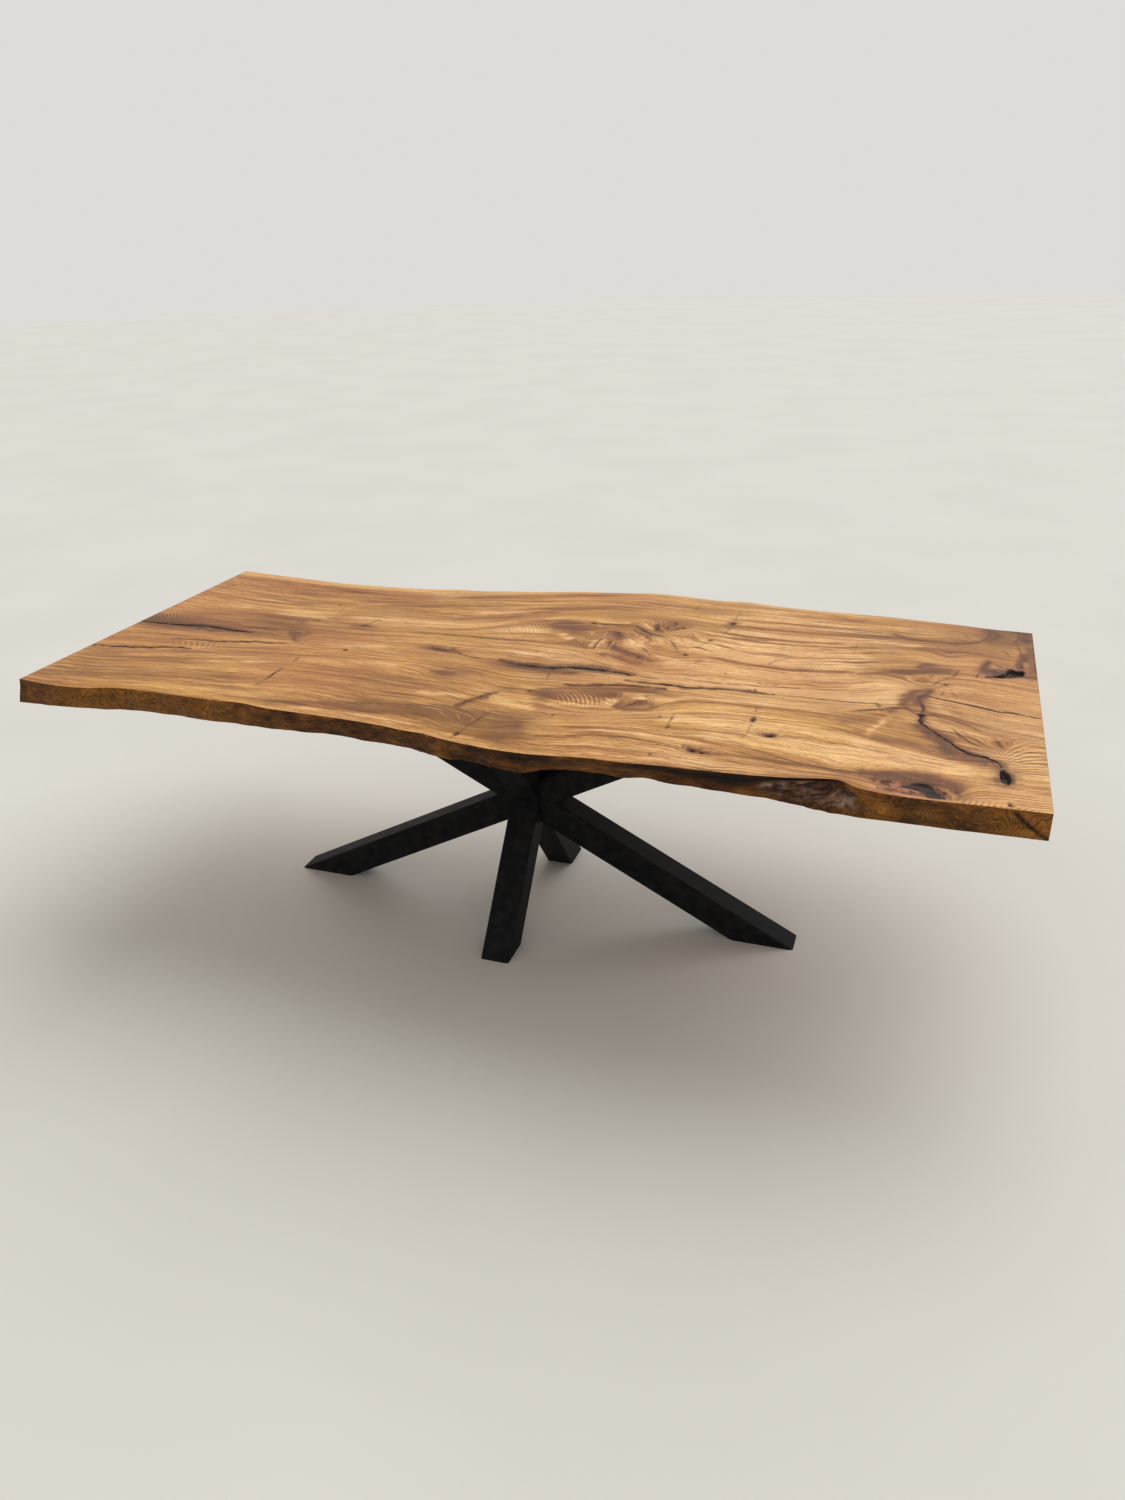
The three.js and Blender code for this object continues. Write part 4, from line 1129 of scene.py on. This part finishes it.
def ripple_waves(add, place):
    """The cross ripples, plus on their crests and minus between them, a little ragged."""
    ripple, rippled = painted(add, "ripple", "rippled")
    phase = add("Math", mottle(add, place, 9), 0.5, ripple, operation="MULTIPLY_ADD")
    wave = add("Math", add("Math", phase, 2 * math.pi, operation="MULTIPLY"), operation="SINE")
    return add("Math", wave, rippled, operation="MULTIPLY")


def thin_line(add, signed, near, guard, half_width, edge):
    """1 on a line: where the signed distance passes through nought and the plain distance is small too."""
    gap = add("Math", signed, operation="ABSOLUTE")
    line = add("MapRange", gap, half_width, edge, 1.0, 0.0)
    close = add("MapRange", near, guard, guard * 1.4, 1.0, 0.0)
    return add("Math", line, close, operation="MULTIPLY")


def grown_wood(add, space, rings, narrow):
    """The colour of the growth: broad and narrow bands, growth rings and thin lines between them."""
    broad = add("Math", mottle(add, space, (420, 56), 2.5), 0.55, operation="MULTIPLY")
    bands = add("Math", narrow, 0.45, broad, operation="MULTIPLY_ADD")
    colour = add("ValToRGB", bands, stops=ELM_STOPS)

    # a ring has a sharp dark edge that fades to one side
    drift = add("Math", mottle(add, space, (500, 90), 1.0), 3.2, operation="MULTIPLY")
    turn = add("Math", rings, 1 / (FACE_RING_GAP * MM), drift, operation="MULTIPLY_ADD")
    saw = add("Math", turn, operation="FRACT")
    fading = add("MapRange", saw, 0.0, 0.45, 1.0, 0.0)
    rising = add("MapRange", saw, 0.9, 1.0)
    ring = add("Math", fading, rising, operation="ADD")
    here = add("MapRange", mottle(add, space, (220, 70), 2.0), 0.46, 0.66, 0.0, 0.35)
    colour = add("Mix", add("Math", ring, here, operation="MULTIPLY"), colour, "#80532d")

    # thin dark lines, where two bands meet
    for size, thin, dark in (((600, 70), 0.014, 0.3), ((340, 26), 0.02, 0.16)):
        middle = add("Math", mottle(add, space, size, 2.0), 0.5, operation="SUBTRACT")
        gap = add("Math", middle, operation="ABSOLUTE")
        colour = tint(add, colour, "#6d4425", gap, thin, 0.0, dark)
    return colour


def lights_and_darks(add, colour, space, place, narrow, fibre, settings):
    """Lighter and darker patches with ragged borders, fine streaks, and pinker and yellower areas."""
    fine = mottle(add, space, (230, 6), 4.0, 0.65)
    torn = add("Math", fibre, 0.5, -0.75, operation="MULTIPLY_ADD")
    uneven = add("Math", narrow, torn, operation="ADD")
    ragged = add("Math", uneven, 1.6, operation="MULTIPLY")
    split = add("MapRange", fine, 0.36, 0.64, 0.6, 1.35)
    # the lighter and darker patches, including the painted light towards the right end
    tone_and_light = add("Math", painted(add, "tone_and_light")[0], split, ragged, operation="MULTIPLY_ADD")
    colour = tint(add, colour, (*settings.dark_wood, 1.0), tone_and_light, 0.05, -1.0, 0.92)
    colour = tint(add, colour, (*settings.light_wood, 1.0), tone_and_light, -0.05, 1.0, 0.9)

    # the streaks are stronger in some areas than in others
    areas = add("MapRange", mottle(add, place, 170, 2.0), 0.4, 0.6, 0.6, 1.3)
    for streak_colour, start, full, strength in (("#714322", 0.48, 0.34, 0.5), ("#ebc08c", 0.54, 0.66, 0.38)):
        streak = add("MapRange", fine, start, full, 0.0, strength)
        colour = add("Mix", add("Math", streak, areas, operation="MULTIPLY"), colour, streak_colour)

    hue = mottle(add, place, 300, 2.0)
    colour = tint(add, colour, "#b97447", hue, 0.48, 0.64, 0.24)
    return tint(add, colour, "#c79640", hue, 0.48, 0.34, 0.18)


def sap_and_stain(add, colour, space):
    """Pale sapwood along the back, the orange streak, and the stain that is broken up by the grain."""
    sap, ember, stain = painted(add, "sap", "ember", "stain")
    colour = add("Mix", sap, colour, "#dfac6c")
    colour = add("Mix", ember, colour, "#a85520")
    along = mottle(add, space, (100, 8), 4.0, 0.6)
    broken = add("Math", mottle(add, space, (7, 30)), 0.4, along, operation="MULTIPLY_ADD")
    broken = add("MapRange", broken, 0.52, 0.88, 0.55, 1.35)
    stain = add("Math", stain, broken, operation="MULTIPLY")
    colour = tint(add, colour, "#6f4429", stain, 0.0, 0.45, 0.8, interpolation_type="LINEAR")
    return tint(add, colour, "#2e1c12", stain, 0.35, 1.0, 0.85, interpolation_type="LINEAR")


def seams_and_recesses(add, colour, place):
    """Seams, small knots, cracks and bark pockets, from brown to black, and the bark shelf at the front."""
    jitter = add("Math", mottle(add, place, 7, 4.0, 0.6), 5.0, -2.5, operation="MULTIPLY_ADD")

    # a seam has a brown border and comes and goes along its length
    seam, near, strength = painted(add, "seam", "seam_near", "seam_strength")
    seam = thin_line(add, add("Math", seam, jitter, operation="ADD"), near, 8.0, 1.4, 7.0)
    patchy = add("MapRange", mottle(add, place, 22, 2.0), 0.38, 0.58, 0.5, 1.0)
    seam = add("Math", seam, patchy, operation="MULTIPLY")
    border = add("MapRange", near, 2.0, 13.0, 0.8, 0.0)
    for amount, seam_colour in ((border, "#7a4a28"), (seam, "#2a1409")):
        colour = add("Mix", add("Math", amount, strength, operation="MULTIPLY"), colour, seam_colour)

    knot = add("Math", jitter, 0.06, painted(add, "mark")[0], operation="MULTIPLY_ADD")
    colour = tint(add, colour, "#5a3018", knot, 0.05, 0.5, 0.75)
    colour = tint(add, colour, "#23140c", knot, 0.46, 0.72)

    crack, near, dark = painted(add, "crack", "crack_near", "crack_dark")
    torn = add("Math", mottle(add, place, 3.5), 1.5, -0.75, operation="MULTIPLY_ADD")
    torn = add("Math", jitter, 0.08, torn, operation="MULTIPLY_ADD")
    crack = thin_line(add, add("Math", torn, crack, operation="ADD"), near, 1.8, 0.75, 1.5)
    dark = add("Math", jitter, 0.12, dark, operation="MULTIPLY_ADD")
    colour = add("Mix", crack, colour, tint(add, "#5c3615", "#1e130c", dark, 0.2, 0.95))

    inside = add("Math", jitter, 0.5, painted(add, "pocket")[0], operation="MULTIPLY_ADD")
    depths = tint(add, "#160e0a", "#38251c", mottle(add, place, 16), 0.42, 0.6)
    colour = tint(add, colour, "#57321e", inside, -5.5, -0.8, 0.6)
    colour = tint(add, colour, depths, inside, -1.4, 1.0)
    bark = tint(add, "#56301f", "#9a6848", mottle(add, place, 20, 4.0, 0.6), 0.4, 0.62)
    return add("Mix", painted(add, "shelf")[0], colour, bark)


def oiled_elm(settings):
    """Flat-sawn elm, sanded and oiled: warm tan with brown growth bands, open pores and a satin sheen.

    Real elm pores are 0.2 mm wide. They are drawn about 1 mm wide, so that they show.
    """
    material, add = new_material("oiled_elm")
    space, rings, place = grain_space(add, "grain")
    narrow = mottle(add, space, (330, 13), 5.0, 0.68)
    fibre = mottle(add, space, (70, 2.4), 4.0, 0.65)
    pores = mottle(add, space, (15, 1.1), 2.0)
    colour = grown_wood(add, space, rings, narrow)
    colour = lights_and_darks(add, colour, space, place, narrow, fibre, settings)
    colour = sap_and_stain(add, colour, space)
    ripple = ripple_waves(add, place)
    colour = tint(add, colour, "#6f4220", ripple, 0.1, 1.0, 0.6)
    colour = tint(add, colour, "#ecb873", ripple, -0.1, -1.0, 0.4)
    colour = tint(add, colour, "#6a4020", fibre, 0.58, 0.32, 0.46)
    colour = tint(add, colour, "#4a2d17", pores, 0.56, 0.67, 0.6)
    colour = seams_and_recesses(add, colour, place)
    roughness = add("MapRange", narrow, 0.3, 0.7, 0.5, 0.4)
    relief = add("Math", pores, -0.7, fibre, operation="MULTIPLY_ADD")
    bump = add("Bump", Height=relief, Strength=0.3, Distance=0.0004)
    return finish(material, add, Base_Color=colour, Roughness=roughness, Normal=bump, Specular_IOR_Level=0.14)


def live_edge_elm():
    """The skin under the bark, brushed and oiled: dark brown with golden rings, lumps and bark rests."""
    material, add = new_material("live_edge_elm")
    space, _, place = grain_space(add, "grain")
    contour, glow, rest, hollow = painted(add, "contour", "glow", "bark", "hollow")
    flow = add("Math", mottle(add, space, (60, 9), 4.0, 0.6), 0.4, operation="MULTIPLY")
    mixed = add("Math", mottle(add, place, 90, 4.0, 0.6), 0.6, flow, operation="MULTIPLY_ADD")
    colour = add("ValToRGB", mixed, stops=LIVE_EDGE_STOPS)

    # the rings that the live edge cuts through, as bent lines like those on a map
    turn = add("Math", mottle(add, place, 90, 2.5), 22.0, contour, operation="MULTIPLY_ADD")
    wave = add("Math", add("Math", turn, 2 * math.pi, operation="MULTIPLY"), operation="SINE")
    here = add("MapRange", mottle(add, place, 120, 2.0), 0.42, 0.6, 0.0, 0.3)
    here = add("Math", here, add("Math", glow, 1.5, operation="MULTIPLY"), operation="MAXIMUM")
    light = add("Math", add("MapRange", wave, -0.3, -1.0, 0.0, 0.35), here, operation="MULTIPLY")
    dark = add("Math", add("MapRange", wave, 0.4, 1.0, 0.0, 0.8), here, operation="MULTIPLY")
    colour = add("Mix", light, colour, "#9a6526")
    colour = tint(add, colour, "#b87a2e", glow, 0.0, 1.0, 0.6, interpolation_type="LINEAR")
    colour = add("Mix", dark, colour, "#1d0e05")

    # torn fibres, pale and dark
    fibre = mottle(add, space, (24, 1.6), 4.0, 0.65)
    colour = tint(add, colour, "#b98a4c", fibre, 0.54, 0.68, 0.3)
    colour = tint(add, colour, "#1c0e05", fibre, 0.46, 0.34, 0.5)

    # old bark, grey and rust with dark folds, and painted shade: black in the hollow under the arris
    crust = mottle(add, place, 26, 5.0, 0.65)
    folds = mottle(add, space, (60, 7), 4.0, 0.6)
    bark = add("ValToRGB", crust, stops=BARK_STOPS)
    bark = tint(add, bark, "#5c3824", mottle(add, place, 60, 2.0), 0.45, 0.6, 0.6)
    bark = tint(add, bark, "#20130d", folds, 0.5, 0.38, 0.8)
    bark = tint(add, bark, "#ae8a73", folds, 0.56, 0.68, 0.5)
    colour = add("Mix", rest, colour, bark)
    # painted shade: near black in the hollow under the arris, and the dark crack down the right end
    colour = add("Mix", hollow, colour, "#0c0603")

    relief = add("Math", fibre, 0.25, mixed, operation="MULTIPLY_ADD")
    relief = add("Math", crust, 0.5, relief, operation="MULTIPLY_ADD")
    bump = add("Bump", Height=relief, Strength=0.6, Distance=0.003)
    return finish(material, add, Base_Color=colour, Normal=bump, Roughness=0.55, Specular_IOR_Level=0.14)


def sawn_end_elm():
    """End grain, sawn and oiled: darker than the face, with the growth rings as arcs about the pith."""
    material, add = new_material("sawn_end_elm")
    space, rings, place = grain_space(add, "ring")
    colour = add("ValToRGB", mottle(add, space, (600, 7), 3.0, 0.6), stops=END_STOPS)
    turn = add("Math", rings, 2 * math.pi / (END_RING_GAP * MM), operation="MULTIPLY")
    colour = tint(add, colour, "#3a2110", add("Math", turn, operation="SINE"), 0.3, 1.0, 0.5)
    pores = mottle(add, place, 1.6, 2.0)
    colour = tint(add, colour, "#2c1a0e", pores, 0.6, 0.75, 0.5)
    bump = add("Bump", Height=pores, Strength=0.3, Distance=0.0005)
    return finish(material, add, Base_Color=colour, Normal=bump, Roughness=0.55)


def black_powder_coat(settings):
    """Powder-coated mild steel: black, matt, with a fine orange peel and faint cloudy wear."""
    material, add = new_material("black_powder_coat")
    place = add("TexCoord", output="Object")
    wear = mottle(add, place, 26, 5.0)
    colour = tint(add, (*settings.coat, 1.0), (*settings.rubbed, 1.0), wear, 0.35, 0.7)
    roughness = add("MapRange", wear, 0.3, 0.7, 0.5, 0.64)
    bump = add("Bump", Height=mottle(add, place, 1.5, 2.0), Strength=0.3, Distance=0.0003)
    return finish(material, add, Base_Color=colour, Roughness=roughness, Normal=bump, Specular_IOR_Level=0.06)


def zinc_plate():
    """Zinc-plated screw steel: pale grey metal with a soft cloudy shine."""
    material, add = new_material("zinc_plate")
    cloud = mottle(add, add("TexCoord", output="Object"), 4)
    colour = tint(add, "#9a9b9c", "#b9bab8", cloud, 0.3, 0.7)
    roughness = add("MapRange", cloud, 0.3, 0.7, 0.3, 0.45)
    return finish(material, add, Base_Color=colour, Roughness=roughness, Metallic=1.0)


def pale_floor():
    """A plain pale studio floor with a trace of mottling."""
    material, add = new_material("pale_floor")
    cloud = mottle(add, add("TexCoord", output="Object"), 900, 4.0)
    colour = tint(add, "#c5c3bd", "#c8c6c0", cloud, 0.3, 0.7)
    return finish(material, add, Base_Color=colour, Roughness=0.85, Specular_IOR_Level=0.2)


class PanelSettings(PropertyGroup):
    """What can be changed on the elm panel"""
    cell: FloatProperty(
        name="Mesh cell", description="Size of one cell of the panel's mesh", default=0.012,
        min=0.008, max=0.03, subtype="DISTANCE", unit="LENGTH")
    arris: FloatProperty(
        name="Eased arris", description="How far the sharp edges are sanded back", default=0.0014,
        min=0.0005, max=0.004, subtype="DISTANCE", unit="LENGTH")
    dark_wood: FloatVectorProperty(
        name="Dark wood", description="Colour of the darkest areas of the figure",
        default=linear("#673d1e")[:3], size=3, min=0, max=1, subtype="COLOR")
    light_wood: FloatVectorProperty(
        name="Light wood", description="Colour of the palest areas of the figure",
        default=linear("#edbd80")[:3], size=3, min=0, max=1, subtype="COLOR")


class BaseSettings(PropertyGroup):
    """What can be changed on the steel base"""
    coat: FloatVectorProperty(
        name="Powder coat", description="Colour of the powder coat",
        default=linear("#131314")[:3], size=3, min=0, max=1, subtype="COLOR")
    rubbed: FloatVectorProperty(
        name="Rubbed coat", description="Colour of the coat where it is faintly rubbed",
        default=linear("#1f1f20")[:3], size=3, min=0, max=1, subtype="COLOR")


class StudioSettings(PropertyGroup):
    """What can be changed in the studio"""
    key_strength: FloatProperty(
        name="Key light", description="Strength of the broad light from above", default=2.02,
        min=0, max=20)
    world_strength: FloatProperty(
        name="Surround", description="Strength of the light that comes from all around", default=0.72,
        min=0, max=5)
    world_colour: FloatVectorProperty(
        name="Surround colour", description="Colour of the light that comes from all around",
        default=(1.0, 0.985, 0.955), size=3, min=0, max=1, subtype="COLOR")


class TABLE_OT_panel(Operator):
    """Builds the figured elm panel with its live edges, cracks and bark pockets"""
    bl_idname = "table.panel"
    bl_label = "Build elm panel"

    def execute(self, context):
        settings = context.scene.table_panel
        bm = panel_block(settings)
        short = settings.cell * 0.6
        finer_places = ((is_front, 1, 0), (near_recess, 3, 0), (near_seam, 2, short), (in_detail, 1, short))
        for test, cuts, longest in finer_places:
            refine(bm, test, cuts, longest)
        roughen_sides(bm)
        sink_recesses(bm)
        keep_in_box(bm, "panel")
        bm.normal_update()
        piece = mesh_object("elm_panel", bm, [oiled_elm(settings), live_edge_elm(), sawn_end_elm()])
        paint_panel(piece.data)
        piece.data.set_sharp_from_angle(angle=CREASE)
        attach(piece, "root")
        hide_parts("panel")
        return {"FINISHED"}


class TABLE_OT_base(Operator):
    """Finishes the steel base: tubes, mounting plates and screws"""
    bl_idname = "table.base"
    bl_label = "Finish steel base"

    def execute(self, context):
        black = black_powder_coat(context.scene.table_base)
        zinc = zinc_plate()
        for name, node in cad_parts.items():
            if name != "panel":
                node.data.materials.clear()
                node.data.materials.append(zinc if name.startswith("screw") else black)
        return {"FINISHED"}


class TABLE_OT_studio(Operator):
    """Sets the plain pale floor, the soft light and the camera"""
    bl_idname = "table.studio"
    bl_label = "Set studio"

    def execute(self, context):
        scene = context.scene
        settings = scene.table_studio
        bm = bmesh.new()
        bmesh.ops.create_circle(bm, cap_ends=True, segments=64, radius=FLOOR_RADIUS)
        floor = mesh_object("studio_floor", bm, [pale_floor()])

        world = bpy.data.worlds.new("soft_surround")
        world.use_nodes = True
        background = world.node_tree.nodes["Background"]
        background.inputs["Color"].default_value = (*settings.world_colour, 1.0)
        background.inputs["Strength"].default_value = settings.world_strength
        scene.world = world

        light = bpy.data.lights.new("soft_overhead", "SUN")
        light.energy = settings.key_strength
        light.angle = KEY_SPREAD
        lamp = bpy.data.objects.new("soft_overhead", light)
        lamp.rotation_euler = Vector(KEY_DIRECTION).to_track_quat("Z", "Y").to_euler()
        scene.collection.objects.link(lamp)

        view = bpy.data.cameras.new("photo_view")
        view.sensor_fit = "VERTICAL"
        view.sensor_height = SENSOR
        view.lens = SENSOR * FOCAL_PIXELS / PHOTO_HEIGHT
        view.clip_end = 100
        camera = bpy.data.objects.new("photo_view", view)
        turn = Euler((math.pi / 2 - CAMERA_PITCH, 0, CAMERA_YAW)).to_matrix()
        turn = turn @ Matrix.Rotation(-CAMERA_ROLL, 3, "Z")
        camera.matrix_world = Matrix.Translation(CAMERA_PLACE) @ turn.to_4x4()
        scene.collection.objects.link(camera)
        scene.camera = camera
        scene.view_settings.view_transform = "Standard"
        return {"FINISHED"}


class VIEW3D_PT_table(Panel):
    """Lists the table's settings and operators in the sidebar"""
    bl_label = "Live-edge table"
    bl_space_type = "VIEW_3D"
    bl_region_type = "UI"
    bl_category = "Table"

    def draw(self, context):
        layout = self.layout
        for settings, operator in (
            (context.scene.table_panel, TABLE_OT_panel),
            (context.scene.table_base, TABLE_OT_base),
            (context.scene.table_studio, TABLE_OT_studio),
        ):
            for name in settings.bl_rna.properties.keys():
                if name not in ("rna_type", "name"):
                    layout.prop(settings, name)
            layout.operator(operator.bl_idname)


CLASSES = (
    PanelSettings, BaseSettings, StudioSettings, TABLE_OT_panel, TABLE_OT_base, TABLE_OT_studio,
    VIEW3D_PT_table,
)


def register():
    for item in CLASSES:
        bpy.utils.register_class(item)
    bpy.types.Scene.table_panel = PointerProperty(type=PanelSettings)
    bpy.types.Scene.table_base = PointerProperty(type=BaseSettings)
    bpy.types.Scene.table_studio = PointerProperty(type=StudioSettings)


def unregister():
    del bpy.types.Scene.table_panel
    del bpy.types.Scene.table_base
    del bpy.types.Scene.table_studio
    for item in reversed(CLASSES):
        bpy.utils.unregister_class(item)


def main():
    register()
    bpy.ops.table.studio()
    bpy.ops.table.panel()
    bpy.ops.table.base()


if __name__ == "__main__":
    main()
